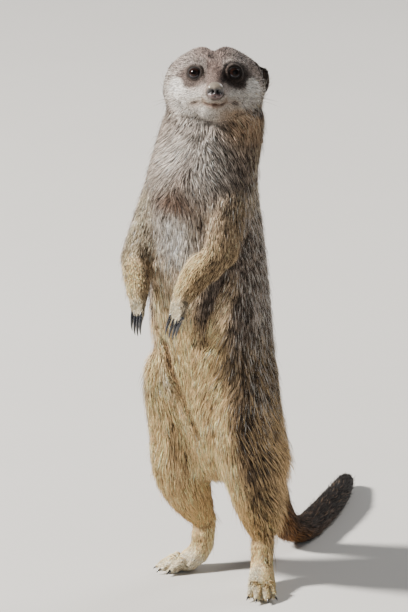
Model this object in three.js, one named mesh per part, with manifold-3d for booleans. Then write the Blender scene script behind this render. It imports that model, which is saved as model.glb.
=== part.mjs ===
// A life-size meerkat standing upright on its hind feet, head turned to its left.
// Millimetres, +Z up. The animal faces -Y, its left side is +X, and the floor is z = 0.
// Every outline is that of the coat's tips, so the pieces are the body with its fur on.

import * as THREE from 'three';
import { ParametricGeometry } from 'three/addons/geometries/ParametricGeometry.js';
import { mergeVertices } from 'three/addons/utils/BufferGeometryUtils.js';
import Module from 'manifold-3d';

const wasm = await Module();
wasm.setup();

// ---------------------------------------------------------------- driving dimensions

const gap = 0.3;                // clearance between two pieces that touch
const evenness = 0.23;          // how far a surface may move when its needless small faces are merged
const endFullness = 0.8;        // length of a plain round end as a share of its half width
const far = 400;                // larger than the animal, for cutting blocks
const bothSides = { left: 1, right: -1 };
const order = (side) => (side === 'left' ? 0 : 1);

// Oval sections of the trunk from crotch to skull: height, place along Y, half width, half depth.
// Aside is how far one lies off the middle, towards the animal's left.
const torso = {
  sections: [
    { height: 66, along: 3, aside: 0, halfWidth: 13, halfDepth: 17 },
    { height: 80, along: 4, aside: 0, halfWidth: 23, halfDepth: 25 },
    { height: 98, along: 3, aside: 0, halfWidth: 29, halfDepth: 30 },
    { height: 118, along: 1.5, aside: -0.5, halfWidth: 32, halfDepth: 31 },
    { height: 140, along: -0.8, aside: -2.6, halfWidth: 34.6, halfDepth: 31 },
    { height: 165, along: -3.2, aside: -3.8, halfWidth: 35.2, halfDepth: 31 },
    { height: 188, along: -6.6, aside: -3, halfWidth: 34, halfDepth: 30.5 },
    { height: 206, along: -10.2, aside: -1.2, halfWidth: 32.4, halfDepth: 29.4 },
    { height: 224, along: -14, aside: -0.4, halfWidth: 31.6, halfDepth: 28.4 },
    { height: 238, along: -15, aside: -0.6, halfWidth: 31.2, halfDepth: 27.6 },
    { height: 250, along: -11, aside: -0.7, halfWidth: 30.2, halfDepth: 26 },
    { height: 262, along: -6, aside: -0.7, halfWidth: 29.2, halfDepth: 24.4 },
    { height: 275, along: -3, aside: -0.5, halfWidth: 28, halfDepth: 23 },
  ],
  neckCut: 246,                 // height where the neck meets the chest
  chestCut: 183,                // height where the chest meets the belly
  bellyCut: 127,                // height where the belly meets the hips
  caps: [6, 8],                 // how far its round ends reach, below and above
  sides: 22,
  rings: 22,
};

// The head's own frame: x to its left, -y out through the nose, z up, origin in mid skull.
const head = {
  centre: [0.3, -5.3, 288.1],
  turn: 35.5,                   // degrees to its left of the trunk
  tilt: 17,                     // degrees nose up
  sections: [
    { along: -37.5, halfWidth: 3.9, top: -4.4, bottom: -12 },
    { along: -34, halfWidth: 5.8, top: -2.8, bottom: -13.4 },
    { along: -30, halfWidth: 7.2, top: -0.6, bottom: -14.6 },
    { along: -26, halfWidth: 9, top: 2.4, bottom: -16 },
    { along: -22, halfWidth: 12.6, top: 7, bottom: -18 },
    { along: -18, halfWidth: 17.6, top: 11.4, bottom: -20 },
    { along: -13, halfWidth: 22.6, top: 15, bottom: -22 },
    { along: -6, halfWidth: 26.2, top: 17.9, bottom: -23.6 },
    { along: 2, halfWidth: 27, top: 18.6, bottom: -24.4 },
    { along: 10, halfWidth: 25.6, top: 17.4, bottom: -23 },
    { along: 18, halfWidth: 21.4, top: 13.8, bottom: -19 },
    { along: 23.5, halfWidth: 16.4, top: 9.6, bottom: -14.4 },
    { along: 26.5, halfWidth: 11, top: 5, bottom: -9.6 },
  ],
  frontCap: 2.5,
  backCap: 1.6,
  egg: 0.04,                    // how much wider a section is below than above
  sides: 26,
  rings: 20,
};

// Soft swellings and hollows of the face, each on both sides: centre, reach, push away from the skull.
const headForms = [
  { name: 'eye socket', at: [11.4, -20.5, 4], reach: 4.2, push: -1.1 },
  { name: 'brow', at: [10, -16.5, 11], reach: 5, push: 1.2 },
  { name: 'crown bump', at: [7, 1, 18.6], reach: 5.5, push: 1.9 },
  { name: 'crown furrow', at: [0, 1, 19], reach: 3.4, push: -0.6 },
  { name: 'temple', at: [18.5, 2, 13], reach: 8.5, push: 2.5 },
  { name: 'cheek', at: [19, -11, -9], reach: 7, push: 1.2 },
  { name: 'whisker pad', at: [6, -32.5, -10], reach: 3.4, push: 1.2 },
];

const faceDepth = 8;            // ahead of here the face is pushed forwards as well as outwards
const faceDrop = 4;             // height below the head's middle from which it is pushed

const eye = { at: [10.6, -16.6, 3.5], radius: 4.9, sides: 14, rings: 8 };
const nose = { at: [0, -38, -7.4], half: [3.9, 3.2, 3], sides: 12, rings: 8 };
const jaw = {
  front: { along: -32.8, height: -14.2, halfWidth: 4.2, halfDepth: 2.2 },
  middle: { along: -26, height: -16, halfWidth: 6.4, halfDepth: 3 },
  hinge: { along: -16, height: -18.4, halfWidth: 8.6, halfDepth: 3.6 },
  sides: 14,
  rings: 5,
};
const ear = {
  at: { left: [25.6, 4, 0.5], right: [25, 7, -0.5] },
  half: [2, 6.4, 8.4],          // thickness, width, height, each halved
  turn: { left: 36, right: 8 }, // degrees the rear edge stands out from the head
  lean: { left: 4, right: -8 }, // degrees the top leans out
  hollow: { shift: 2.6, ahead: -1, scale: 0.78 },
  sides: 12,
  rings: 8,
};

// Row is the turn of the row of fingers about the vertical in degrees, lean how far its claws lean.
const arm = {
  left: {
    shoulder: [22, -22, 230], elbow: [27, -36.5, 204.5], belly: [21, -48.5, 195.5],
    wrist: [18, -60.5, 184], fingers: [20, -68.6, 175], row: -15, lean: [-2.6, -1.6],
  },
  right: {
    shoulder: [-22, -20, 230], elbow: [-34, -29, 189], belly: [-25.6, -40.6, 183.7],
    wrist: [-15.4, -54.7, 177.8], fingers: [-11.4, -60.5, 170], row: -22, lean: [0.4, -1.4],
  },
  shoulderHalf: [14, 10.5],     // front to back, then side to side
  elbowHalf: [11, 9.6],
  forearmStart: { share: 0.1, half: 9.2 },
  bellyHalf: { left: 8.9, right: 8.2 },
  wristHalf: 5.8,
  forearmCaps: [0.5, 3.5],
  sides: 14,
  rings: 5,
};

const hand = {
  palmStart: { share: 0.1, half: [5, 4.8] },
  knuckles: { share: 0.55, half: [5.4, 4.2] },
  palmCaps: [0.5, 2.5],
  palmRings: 2,
  palmSides: 10,
  fingerStart: 0.5,             // where the fingers leave the palm, as a share of wrist to finger tips
  fingerHalf: 1.75,
  fingerGap: 2.6,
  rootsCloser: 0.9,             // the fingers fan out by this share at their roots
  tipsWider: 1.1,               // and by this one at their tips
  outerShorter: 1.6,            // how much higher the two outer fingers end
};

// A claw starts just clear of its finger or toe and thins towards its tip.
const claw = {
  taper: [1, 0.8, 0.3],
  caps: [0, 0.4],
  rings: 3,
  sides: 6,
  finger: { length: 10.5, half: [0.95, 1.5], bow: 1.4 },
  toe: { length: 3.8, half: [1, 1.2], rise: 0.4 },
};

// Level sections of a hind leg down to the hem of its long fur at the hock, and the foot below it.
// A pair of values is for the left leg and then the right.
const leg = {
  sections: [
    { height: 141, out: [17, 18.5], along: [0, -6.5], halfWidth: 13, halfDepth: 16 },
    { height: 132, out: [17.5, 20], along: [-0.5, -8], halfWidth: 16.5, halfDepth: 21 },
    { height: 120, out: [17, 21], along: [-1, -8.5], halfWidth: 17.6, halfDepth: 24 },
    { height: 104, out: [17.6, 20], along: [-0.5, -7], halfWidth: 18.4, halfDepth: 25 },
    { height: 90, out: [19, 19], along: [0.5, -4.5], halfWidth: 18.4, halfDepth: 26 },
    { height: 76, out: [20.8, 19.5], along: [2.5, -4.4], halfWidth: 17.4, halfDepth: 25.5 },
    { height: 66, out: [21, 20.5], along: [4, -4.6], halfWidth: 15.6, halfDepth: 22.5 },
    { height: 56, out: [21, 21], along: [5.5, -4], halfWidth: 13.2, halfDepth: 18.5 },
    { height: 46, out: [21, 21], along: [8, 0.5], halfWidth: 12, halfDepth: 16 },
    { height: 37, out: [21.2, 21.2], along: [10.5, 6], halfWidth: 10.8, halfDepth: 13 },
    { height: 30, out: [21.5, 21.5], along: [11, 11], halfWidth: 8.8, halfDepth: 10 },
  ],
  caps: [6, 4],                 // how far its round ends reach, above and below
  kneeCut: 67,                  // height where the thigh meets the shank
  left: { hock: [21.5, 12, 31], heel: [23.8, 8, 12], ball: [31.5, -3.5], heading: -35 },
  right: { hock: [-20.5, 15, 31], heel: [-19.8, 11, 11.6], ball: [-24.8, 4], heading: 39 },
  sides: 16,
  rings: 12,
};

const foot = {
  hockHalf: 6.9,
  instepHalf: 6.3,
  ballHalf: [8.2, 5.4],         // sideways, then up and down
  ballHeight: 4.3,
  caps: [2, 4],
  toeHalf: 2.6,
  toeHeight: 2.3,
  toeArch: 0.8,                 // how much higher a toe starts than it ends
  toeStart: 2,                  // ahead of the middle of the ball
  toeLength: 12,
  outerShorter: 2.5,
  toeSpread: 21,                // degrees between one toe and the next
  sides: 12,
  rings: 5,
};

// The tail leaves the rump, props on the floor behind the feet and lies along it.
const tail = {
  stations: [
    { at: [0, 22, 96], half: 12 },
    { at: [0, 38, 76], half: 10 },
    { at: [0, 51, 42], half: 8.6 },
    { at: [1.5, 64, 15], half: 7.8 },
    { at: [2, 81, 7], half: 7.4 },
    { at: [-4, 110, 6.6], half: 7.2 },
    { at: [-13, 140, 6.4], half: 6.6 },
    { at: [-25, 168, 5.2], half: 4.6 },
  ],
  cuts: [1.9, 3.3, 5],          // where one length meets the next, counted in stations
  names: ['tail_base', 'tail_bend', 'tail_middle'],
  sides: 12,
  rings: 18,
};

const colours = {
  backFur: 0x8d7c68,
  bellyFur: 0xb7a891,
  paleFur: 0xd6cab4,
  goldFur: 0xb08c58,
  darkFur: 0x3a2c22,
  faceFur: 0xb9ae9f,
  noseSkin: 0x2a1f1d,
  eyeBrown: 0x1a0f0a,
  claw: 0x23242b,
};
const shine = { fur: 0.9, nose: 0.4, eye: 0.1, claw: 0.25 };   // roughness of each surface

// ---------------------------------------------------------------- helpers

const point = (list) => new THREE.Vector3(...list);
const radians = (degrees) => THREE.MathUtils.degToRad(degrees);
const curve = (places, kind = 'centripetal') => new THREE.CatmullRomCurve3(places.map(point), false, kind);

// Turns a closed geometry into a solid that can be joined and cut.
function solidOf(geometry) {
  const bare = geometry.clone();
  bare.deleteAttribute('normal');
  bare.deleteAttribute('uv');
  const merged = mergeVertices(bare, 1e-4);
  const index = merged.index.array;
  const triVerts = [];
  for (let i = 0; i < index.length; i += 3) {
    const [a, b, c] = index.slice(i, i + 3);
    if (a !== b && b !== c && c !== a) triVerts.push(a, b, c);
  }
  const vertProperties = Float32Array.from(merged.attributes.position.array);
  const mesh = new wasm.Mesh({ numProp: 3, vertProperties, triVerts: Uint32Array.from(triVerts) });
  return new wasm.Manifold(mesh);
}

// Turns a solid back into a geometry.
function geometryOf(solid) {
  const { vertProperties, triVerts, numProp } = solid.getMesh();
  const geometry = new THREE.BufferGeometry();
  const position = new Float32Array((vertProperties.length / numProp) * 3);
  for (let i = 0; i < position.length / 3; i += 1) {
    for (let k = 0; k < 3; k += 1) position[3 * i + k] = vertProperties[numProp * i + k];
  }
  geometry.setAttribute('position', new THREE.BufferAttribute(position, 3));
  geometry.setIndex(new THREE.BufferAttribute(Uint32Array.from(triVerts), 1));
  geometry.computeVertexNormals();
  return geometry;
}

// A closed solid swept through oval sections, with round ends. Each section has a place `at`, a
// half width measured along `across` and a half depth at right angles to it and to the path.
// `axis` keeps every section square to one direction; without it they stand square to the path.
// `grow` makes the whole solid larger all round, and `reshape` may move each point of it.
function sweep({
  sections, across, axis, rings, sides, caps = [], capRings = 2, egg = 0, grow = 0, reshape,
}) {
  const last = sections.length - 1;
  const path = curve(sections.map((section) => section.at));
  const halves = curve(sections.map((section) => [section.halfWidth, section.halfDepth, 0]), 'catmullrom');
  const side = point(across);
  const total = rings + 2 * capRings;
  const share = capRings / total;
  const roundEnd = (section) => ((section.halfWidth + section.halfDepth) / 2) * endFullness;
  const capLengths = [caps[0] ?? roundEnd(sections[0]), caps[1] ?? roundEnd(sections[last])];

  const place = (u, v, target) => {
    const start = u < share;
    const end = u > 1 - share;
    const along = THREE.MathUtils.clamp((u - share) / (1 - 2 * share), 0, 1);
    const turn = start ? (u / share) * Math.PI / 2 : ((1 - u) / share) * Math.PI / 2;
    const swell = start || end ? Math.sin(turn) : 1;
    const reach = (start ? -capLengths[0] - grow : capLengths[1] + grow) * Math.cos(turn);
    const forward = axis ? point(axis) : path.getTangent(along);
    const width = side.clone().addScaledVector(forward, -side.dot(forward)).normalize();
    const depth = width.clone().cross(forward);
    const half = halves.getPoint(along);
    const angle = v * 2 * Math.PI;
    const lift = Math.sin(angle);
    target.copy(path.getPoint(along));
    target.addScaledVector(forward, start || end ? reach : 0);
    target.addScaledVector(width, Math.cos(angle) * (1 - egg * lift) * (half.x + grow) * swell);
    target.addScaledVector(depth, lift * (half.y + grow) * swell);
    if (reshape) reshape(target);
  };
  return solidOf(new ParametricGeometry(place, total, sides));
}

// A round-ended limb between two or more places.
const limb = (sections, across, rings, sides, grow, caps) =>
  sweep({ sections, across, rings, sides, grow, caps });

// A finger or a toe: the same with plainer ends.
const digit = (root, tip, across, grow) =>
  sweep({ sections: [root, tip], across, rings: 1, sides: 6, capRings: 1, grow });

const round = (at, half) => ({ at, halfWidth: half, halfDepth: half });
const oval = (at, halfWidth, halfDepth) => ({ at, halfWidth, halfDepth });
const between = (a, b, share) => a.map((value, i) => value + (b[i] - value) * share);
const shifted = (a, b) => a.map((value, i) => value + b[i]);

function ellipsoid(at, half, sides, rings, grow = 0) {
  const sphere = new THREE.SphereGeometry(1, sides, rings);
  sphere.scale(half[0] + grow, half[1] + grow, half[2] + grow);
  sphere.translate(...at);
  return solidOf(sphere);
}

// A block that fills everything above or below a height, for trimming.
function block(low, high) {
  const box = new THREE.BoxGeometry(far, far, high - low);
  box.translate(0, 0, (low + high) / 2);
  return solidOf(box);
}

// ---------------------------------------------------------------- trunk

function torsoSolid(grow = 0) {
  const sections = torso.sections.map(({ height, along, aside, halfWidth, halfDepth }) => (
    { at: [aside, along, height], halfWidth, halfDepth }));
  return sweep({
    sections, across: [1, 0, 0], axis: [0, 0, 1], rings: torso.rings, sides: torso.sides, grow,
    caps: torso.caps,
  });
}

// ---------------------------------------------------------------- head

// Moves a point of the skull's surface by every swelling and hollow near it.
function shapeFace(target) {
  const base = target.clone();
  const outward = new THREE.Vector3(base.x, Math.min(base.y + faceDepth, 0), base.z + faceDrop).normalize();
  for (const form of headForms) {
    for (const mirror of Object.values(bothSides)) {
      const centre = point(form.at).multiply(new THREE.Vector3(mirror, 1, 1));
      const distance = base.distanceTo(centre) / form.reach;
      target.addScaledVector(outward, form.push * Math.exp(-distance * distance));
    }
  }
}

function skullSolid(grow = 0) {
  const sections = head.sections.map(({ along, halfWidth, top, bottom }) => (
    { at: [0, along, (top + bottom) / 2], halfWidth, halfDepth: (top - bottom) / 2 }));
  return sweep({
    sections, across: [1, 0, 0], axis: [0, 1, 0], rings: head.rings, sides: head.sides,
    grow, caps: [head.frontCap, head.backCap], egg: head.egg, reshape: shapeFace,
  });
}

function eyeSolid(mirror, grow = 0) {
  const [x, y, z] = eye.at;
  const { radius } = eye;
  return ellipsoid([mirror * x, y, z], [radius, radius, radius], eye.sides, eye.rings, grow);
}

const noseSolid = (grow = 0) => ellipsoid(nose.at, nose.half, nose.sides, nose.rings, grow);

function jawSolid(grow = 0) {
  const sections = [jaw.front, jaw.middle, jaw.hinge].map(({ along, height, halfWidth, halfDepth }) => (
    oval([0, along, height], halfWidth, halfDepth)));
  return sweep({ sections, across: [1, 0, 0], rings: jaw.rings, sides: jaw.sides, grow });
}

// A small upright flap, hollowed on its outer face and turned so that its rear edge stands out.
function earSolid(side, grow = 0) {
  const mirror = bothSides[side];
  const [thick, wide, tall] = ear.half;
  const [x, y, z] = ear.at[side];
  const flap = new THREE.SphereGeometry(1, ear.sides, ear.rings);
  flap.scale(thick + grow, wide + grow, tall + grow);
  const hollow = new THREE.SphereGeometry(1, ear.sides, ear.rings);
  hollow.scale(thick, wide * ear.hollow.scale, tall * ear.hollow.scale);
  hollow.translate(mirror * ear.hollow.shift, ear.hollow.ahead, 0);
  const [lean, turn] = [ear.lean[side], -ear.turn[side]].map((angle) => radians(mirror * angle));
  const turned = new THREE.Euler(0, lean, turn, 'ZYX');
  const seat = new THREE.Matrix4().makeRotationFromEuler(turned).setPosition(mirror * x, y, z);
  flap.applyMatrix4(seat);
  hollow.applyMatrix4(seat);
  return solidOf(flap).subtract(solidOf(hollow));
}

// From the head's own frame to the animal's.
const headPlace = new THREE.Matrix4().compose(
  point(head.centre),
  new THREE.Quaternion().setFromEuler(new THREE.Euler(-radians(head.tilt), 0, radians(head.turn), 'ZYX')),
  new THREE.Vector3(1, 1, 1));

const inBody = (solid) => solid.transform(headPlace.elements);

// ---------------------------------------------------------------- arms and legs

function upperArmSolid(side, grow = 0) {
  const { shoulder, elbow } = arm[side];
  const middle = between(arm.shoulderHalf, arm.elbowHalf, 0.5);
  return limb([
    oval(shoulder, ...arm.shoulderHalf),
    oval(between(shoulder, elbow, 0.5), ...middle),
    oval(elbow, ...arm.elbowHalf),
  ], [0, 1, 0], arm.rings, arm.sides, grow);
}

function forearmSolid(side, grow = 0) {
  const { elbow, belly, wrist } = arm[side];
  const { forearmStart, bellyHalf } = arm;
  return limb([
    round(between(elbow, wrist, forearmStart.share), forearmStart.half),
    round(belly, bellyHalf[side]),
    round(wrist, arm.wristHalf),
  ], [1, 0, 0], arm.rings, arm.sides, grow, arm.forearmCaps);
}

function rowOf(side) {
  const angle = radians(arm[side].row);
  return [Math.cos(angle), Math.sin(angle), 0];
}

// A palm with four fingers side by side, in a curve that droops from the wrist.
function handSolid(side, grow = 0) {
  const { wrist, fingers } = arm[side];
  const { palmStart, knuckles } = hand;
  const across = rowOf(side);
  let solid = limb([
    oval(between(wrist, fingers, palmStart.share), ...palmStart.half),
    oval(between(wrist, fingers, knuckles.share), ...knuckles.half),
  ], across, hand.palmRings, hand.palmSides, grow, hand.palmCaps);
  for (const { root, tip } of fingersOf(side)) {
    solid = solid.add(digit(round(root, hand.fingerHalf), round(tip, hand.fingerHalf), across, grow));
  }
  return solid;
}

// How far each of four digits lies from the middle of its row, counted in digits.
const row = [-1.5, -0.5, 0.5, 1.5];
const isOuter = (place) => Math.abs(place) > 1;

function fingersOf(side) {
  const { wrist, fingers } = arm[side];
  const start = between(wrist, fingers, hand.fingerStart);
  const across = rowOf(side);
  return row.map((place) => {
    const sideways = (share) => across.map((value) => value * place * hand.fingerGap * share);
    const higher = [0, 0, isOuter(place) ? hand.outerShorter : 0];
    return {
      root: shifted(start, sideways(hand.rootsCloser)),
      tip: shifted(shifted(fingers, sideways(hand.tipsWider)), higher),
      lean: arm[side].lean,
      across,
    };
  });
}

// A thin curved claw through three places.
function clawSolid(places, half, across) {
  const sections = places.map((at, i) => oval(at, half[0] * claw.taper[i], half[1] * claw.taper[i]));
  return limb(sections, across, claw.rings, claw.sides, 0, claw.caps);
}

// A claw that hangs from a finger and bows forward.
function fingerClawSolid(finger) {
  const { length, half, bow } = claw.finger;
  const start = hand.fingerHalf + gap;
  const [out, ahead] = finger.lean;
  const middle = shifted(finger.tip, [out / 2, ahead / 2 - bow, -start - length / 2]);
  const end = shifted(finger.tip, [out, ahead, -start - length]);
  return clawSolid([shifted(finger.tip, [0, 0, -start]), middle, end], half, finger.across);
}

// A hind leg from haunch to hock in its long fur, whole.
function legSolid(side, grow = 0) {
  const sections = leg.sections.map(({ height, out, along, halfWidth, halfDepth }) => (
    oval([bothSides[side] * out[order(side)], along[order(side)], height], halfWidth, halfDepth)));
  return sweep({
    sections, across: [1, 0, 0], axis: [0, 0, -1], rings: leg.rings, sides: leg.sides, grow, caps: leg.caps,
  });
}

const headingOf = (side, extra = 0) => {
  const angle = radians(leg[side].heading + extra);
  return [-Math.sin(angle), -Math.cos(angle), 0];
};

function headingAcross(side) {
  const [x, y] = headingOf(side);
  return [-y, x, 0];
}

function toesOf(side) {
  const ball = [...leg[side].ball, foot.toeHeight];
  return row.map((place) => {
    const heading = headingOf(side, place * foot.toeSpread);
    const length = foot.toeLength - (isOuter(place) ? foot.outerShorter : 0);
    const root = shifted(ball, [heading[0] * foot.toeStart, heading[1] * foot.toeStart, foot.toeArch]);
    const tip = shifted(ball, [heading[0] * length, heading[1] * length, 0]);
    return { root, tip, heading };
  });
}

function footSolid(side, grow = 0) {
  const { hock, heel, ball } = leg[side];
  let solid = limb([
    round(hock, foot.hockHalf),
    round(heel, foot.instepHalf),
    oval([...ball, foot.ballHeight], ...foot.ballHalf),
  ], headingAcross(side), foot.rings, foot.sides, grow, foot.caps);
  for (const toe of toesOf(side)) {
    solid = solid.add(digit(round(toe.root, foot.toeHalf), round(toe.tip, foot.toeHalf), [0, 0, 1], grow));
  }
  return solid;
}

// A short claw that points ahead of a toe and curves down to the floor.
function toeClawSolid({ tip, heading }) {
  const { length, half, rise } = claw.toe;
  const ahead = (distance, height) => (
    [tip[0] + heading[0] * distance, tip[1] + heading[1] * distance, height]);
  const start = foot.toeHalf + gap;
  const level = foot.toeHeight + rise;
  const places = [ahead(start, level), ahead(start + length / 2, level), ahead(start + length, half[0])];
  return clawSolid(places, half, [-heading[1], heading[0], 0]);
}

// ---------------------------------------------------------------- tail

const tailPath = curve(tail.stations.map((station) => station.at));

function tailSolid(grow = 0) {
  const sections = tail.stations.map((station) => round(station.at, station.half));
  return limb(sections, [1, 0, 0], tail.rings, tail.sides, grow);
}

// A block that starts at one place of the tail and runs towards its tip, square to the path there.
function tailBlock(count, offset) {
  const along = count / (tail.stations.length - 1);
  const box = new THREE.BoxGeometry(far, far, far);
  box.translate(0, 0, far / 2 + offset);
  const up = new THREE.Vector3(0, 0, 1);
  const turn = new THREE.Quaternion().setFromUnitVectors(up, tailPath.getTangent(along));
  box.applyQuaternion(turn);
  box.translate(...tailPath.getPoint(along).toArray());
  return solidOf(box);
}

// ---------------------------------------------------------------- assembly

const meerkat = new THREE.Group();
const belowFloor = block(-far, 0);

// Merges a solid's needless faces, levels it where it would sink into the floor, and names it.
function addPiece(name, solid, colour, roughness = shine.fur) {
  const material = new THREE.MeshStandardMaterial({ color: colour, roughness, metalness: 0 });
  const level = solid.simplify(evenness).subtract(belowFloor);
  const mesh = new THREE.Mesh(geometryOf(level), material);
  mesh.name = name;
  meerkat.add(mesh);
}

function addHead() {
  let skull = skullSolid().subtract(jawSolid(gap)).subtract(noseSolid(gap));
  for (const [side, mirror] of Object.entries(bothSides)) {
    skull = skull.subtract(eyeSolid(mirror, gap));
    addPiece(`eye_${side}`, inBody(eyeSolid(mirror)), colours.eyeBrown, shine.eye);
    addPiece(`ear_${side}`, inBody(earSolid(side).subtract(skullSolid(gap))), colours.darkFur);
  }
  addPiece('head', inBody(skull), colours.faceFur);
  addPiece('nose', inBody(noseSolid()), colours.noseSkin, shine.nose);
  addPiece('lower_jaw', inBody(jawSolid()), colours.paleFur);
}

function addTrunk() {
  const headRoom = inBody(skullSolid(gap).add(jawSolid(gap)));
  const whole = torsoSolid().subtract(headRoom);
  const { neckCut, chestCut, bellyCut } = torso;
  const slice = (low, high) => whole.intersect(block(low, high));
  addPiece('neck', slice(neckCut + gap, far), colours.paleFur);
  addPiece('chest', slice(chestCut + gap, neckCut), colours.bellyFur);
  addPiece('belly', slice(bellyCut + gap, chestCut), colours.bellyFur);
  addPiece('hips', slice(0, bellyCut), colours.goldFur);
}

function addArm(side) {
  const upper = upperArmSolid(side).subtract(torsoSolid(gap));
  const forearm = forearmSolid(side).subtract(upperArmSolid(side, gap)).subtract(torsoSolid(gap));
  addPiece(`upper_arm_${side}`, upper, colours.backFur);
  addPiece(`forearm_${side}`, forearm, colours.paleFur);
  addPiece(`hand_${side}`, handSolid(side).subtract(forearmSolid(side, gap)), colours.paleFur);
  fingersOf(side).forEach((finger, i) => {
    addPiece(`hand_claw_${side}_${i + 1}`, fingerClawSolid(finger), colours.claw, shine.claw);
  });
}

function addLeg(side) {
  const mirror = bothSides[side];
  const inner = new THREE.BoxGeometry(far, far, far);
  inner.translate(-mirror * (far / 2 - gap), 0, 0);
  const whole = legSolid(side).subtract(torsoSolid(gap)).subtract(solidOf(inner));
  addPiece(`thigh_${side}`, whole.intersect(block(leg.kneeCut + gap, far)), colours.goldFur);
  addPiece(`shank_${side}`, whole.intersect(block(0, leg.kneeCut)), colours.goldFur);
  addPiece(`foot_${side}`, footSolid(side).subtract(legSolid(side, gap)), colours.paleFur);
  toesOf(side).forEach((toe, i) => {
    addPiece(`toe_claw_${side}_${i + 1}`, toeClawSolid(toe), colours.claw, shine.claw);
  });
}

function addTail() {
  let rest = tailSolid().subtract(torsoSolid(gap));
  for (const side of Object.keys(bothSides)) rest = rest.subtract(legSolid(side, gap));
  tail.cuts.forEach((cut, i) => {
    addPiece(tail.names[i], rest.subtract(tailBlock(cut, 0)), colours.backFur);
    rest = rest.intersect(tailBlock(cut, gap));
  });
  addPiece('tail_tip', rest, colours.darkFur);
}

addHead();
addTrunk();
for (const side of Object.keys(bothSides)) {
  addArm(side);
  addLeg(side);
}
addTail();

// The origin is set under the middle of the whole animal, on the floor.
const extent = new THREE.Box3().setFromObject(meerkat);
const middle = extent.getCenter(new THREE.Vector3());
meerkat.position.set(-middle.x, -middle.y, 0);

export default meerkat;
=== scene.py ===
import math
import bpy
import bmesh
import numpy as np
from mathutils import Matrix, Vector


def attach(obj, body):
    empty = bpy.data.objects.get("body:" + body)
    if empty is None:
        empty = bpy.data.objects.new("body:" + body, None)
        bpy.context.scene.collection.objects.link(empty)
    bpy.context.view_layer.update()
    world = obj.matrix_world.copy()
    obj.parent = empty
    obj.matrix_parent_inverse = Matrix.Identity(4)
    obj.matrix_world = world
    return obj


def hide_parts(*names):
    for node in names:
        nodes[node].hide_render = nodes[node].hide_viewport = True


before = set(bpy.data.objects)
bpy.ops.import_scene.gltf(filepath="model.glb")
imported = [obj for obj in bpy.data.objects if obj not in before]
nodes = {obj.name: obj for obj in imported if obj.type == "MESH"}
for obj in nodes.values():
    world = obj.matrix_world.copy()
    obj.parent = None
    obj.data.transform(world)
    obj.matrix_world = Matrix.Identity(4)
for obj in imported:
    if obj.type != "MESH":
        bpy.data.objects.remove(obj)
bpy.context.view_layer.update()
chance = np.random.default_rng(11)

# Shapes are worked out in millimetres in the animal's own frame: x to its left, -y ahead, z up.
middleOfBox = np.array([1.76, 49.43, 0.0])
bothSides = {"left": 1.0, "right": -1.0}


def inScene(points):
    return (np.asarray(points, float) - middleOfBox) * 0.001


def fromScene(points):
    return np.asarray(points, float) * 1000 + middleOfBox


def unit(vectors):
    return vectors / np.maximum(np.linalg.norm(vectors, axis=-1, keepdims=True), 1e-9)


def smoothStep(low, high, value):  # 0 below low, 1 above high, a smooth S between
    share = np.clip((value - low) / (high - low), 0, 1)
    return share * share * (3 - 2 * share)


def bell(distance, width):  # 1 at the middle, falling to a third at one width
    return np.exp(-(distance / width) ** 2)


def blended(first, second, share):
    share = np.asarray(share)[..., None]
    return first * (1 - share) + second * share


def linear(red, green, blue):  # a colour as seen, 0 to 255, turned into light
    shown = np.array([red, green, blue]) / 255
    return np.where(shown < 0.04045, shown / 12.92, ((shown + 0.055) / 1.055) ** 2.4)


# Smooth noise from -1 to 1: random values at the corners of a lattice, blended across each cell.
lattice = chance.uniform(-1, 1, (32, 32, 32))


def noise(points, size):
    place = points / size
    cell = np.floor(place).astype(int)
    share = place - cell
    share = share * share * (3 - 2 * share)
    total = np.zeros(len(points))
    for corner in np.ndindex(2, 2, 2):
        weight = np.prod(np.where(np.array(corner) == 1, share, 1 - share), axis=1)
        x, y, z = ((cell + corner) % 32).T
        total += weight * lattice[x, y, z]
    return total


# The head's own frame: x to its left, -y out through the nose, z up, origin in mid skull.
headPlace = {"centre": np.array([0.3, -5.3, 288.1]), "turn": 35.5, "tilt": 17.0}


def headTurning():
    turn, tilt = math.radians(headPlace["turn"]), -math.radians(headPlace["tilt"])
    aboutUp = np.array([[math.cos(turn), -math.sin(turn), 0], [math.sin(turn), math.cos(turn), 0], [0, 0, 1]])
    aboutSide = np.array([[1, 0, 0], [0, math.cos(tilt), -math.sin(tilt)], [0, math.sin(tilt), math.cos(tilt)]])
    return aboutUp @ aboutSide


headAxes = headTurning()


def fromHead(points):
    return np.asarray(points, float) @ headAxes.T + headPlace["centre"]


def toHead(points):
    return (points - headPlace["centre"]) @ headAxes


class Wire:  # a shader socket; arithmetic on it adds Math nodes
    def __init__(self, tree, socket):
        self.tree, self.socket = tree, socket

    def reckoned(self, operation, first, second):
        made = self.tree.nodes.new("ShaderNodeMath")
        made.operation = operation
        for place, value in enumerate((first, second)):
            if isinstance(value, Wire):
                self.tree.links.new(value.socket, made.inputs[place])
            else:
                made.inputs[place].default_value = value
        return Wire(self.tree, made.outputs[0])

    def __add__(self, other): return self.reckoned("ADD", self, other)
    def __radd__(self, other): return self.reckoned("ADD", other, self)
    def __sub__(self, other): return self.reckoned("SUBTRACT", self, other)
    def __rsub__(self, other): return self.reckoned("SUBTRACT", other, self)
    def __mul__(self, other): return self.reckoned("MULTIPLY", self, other)
    def __rmul__(self, other): return self.reckoned("MULTIPLY", other, self)


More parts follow.
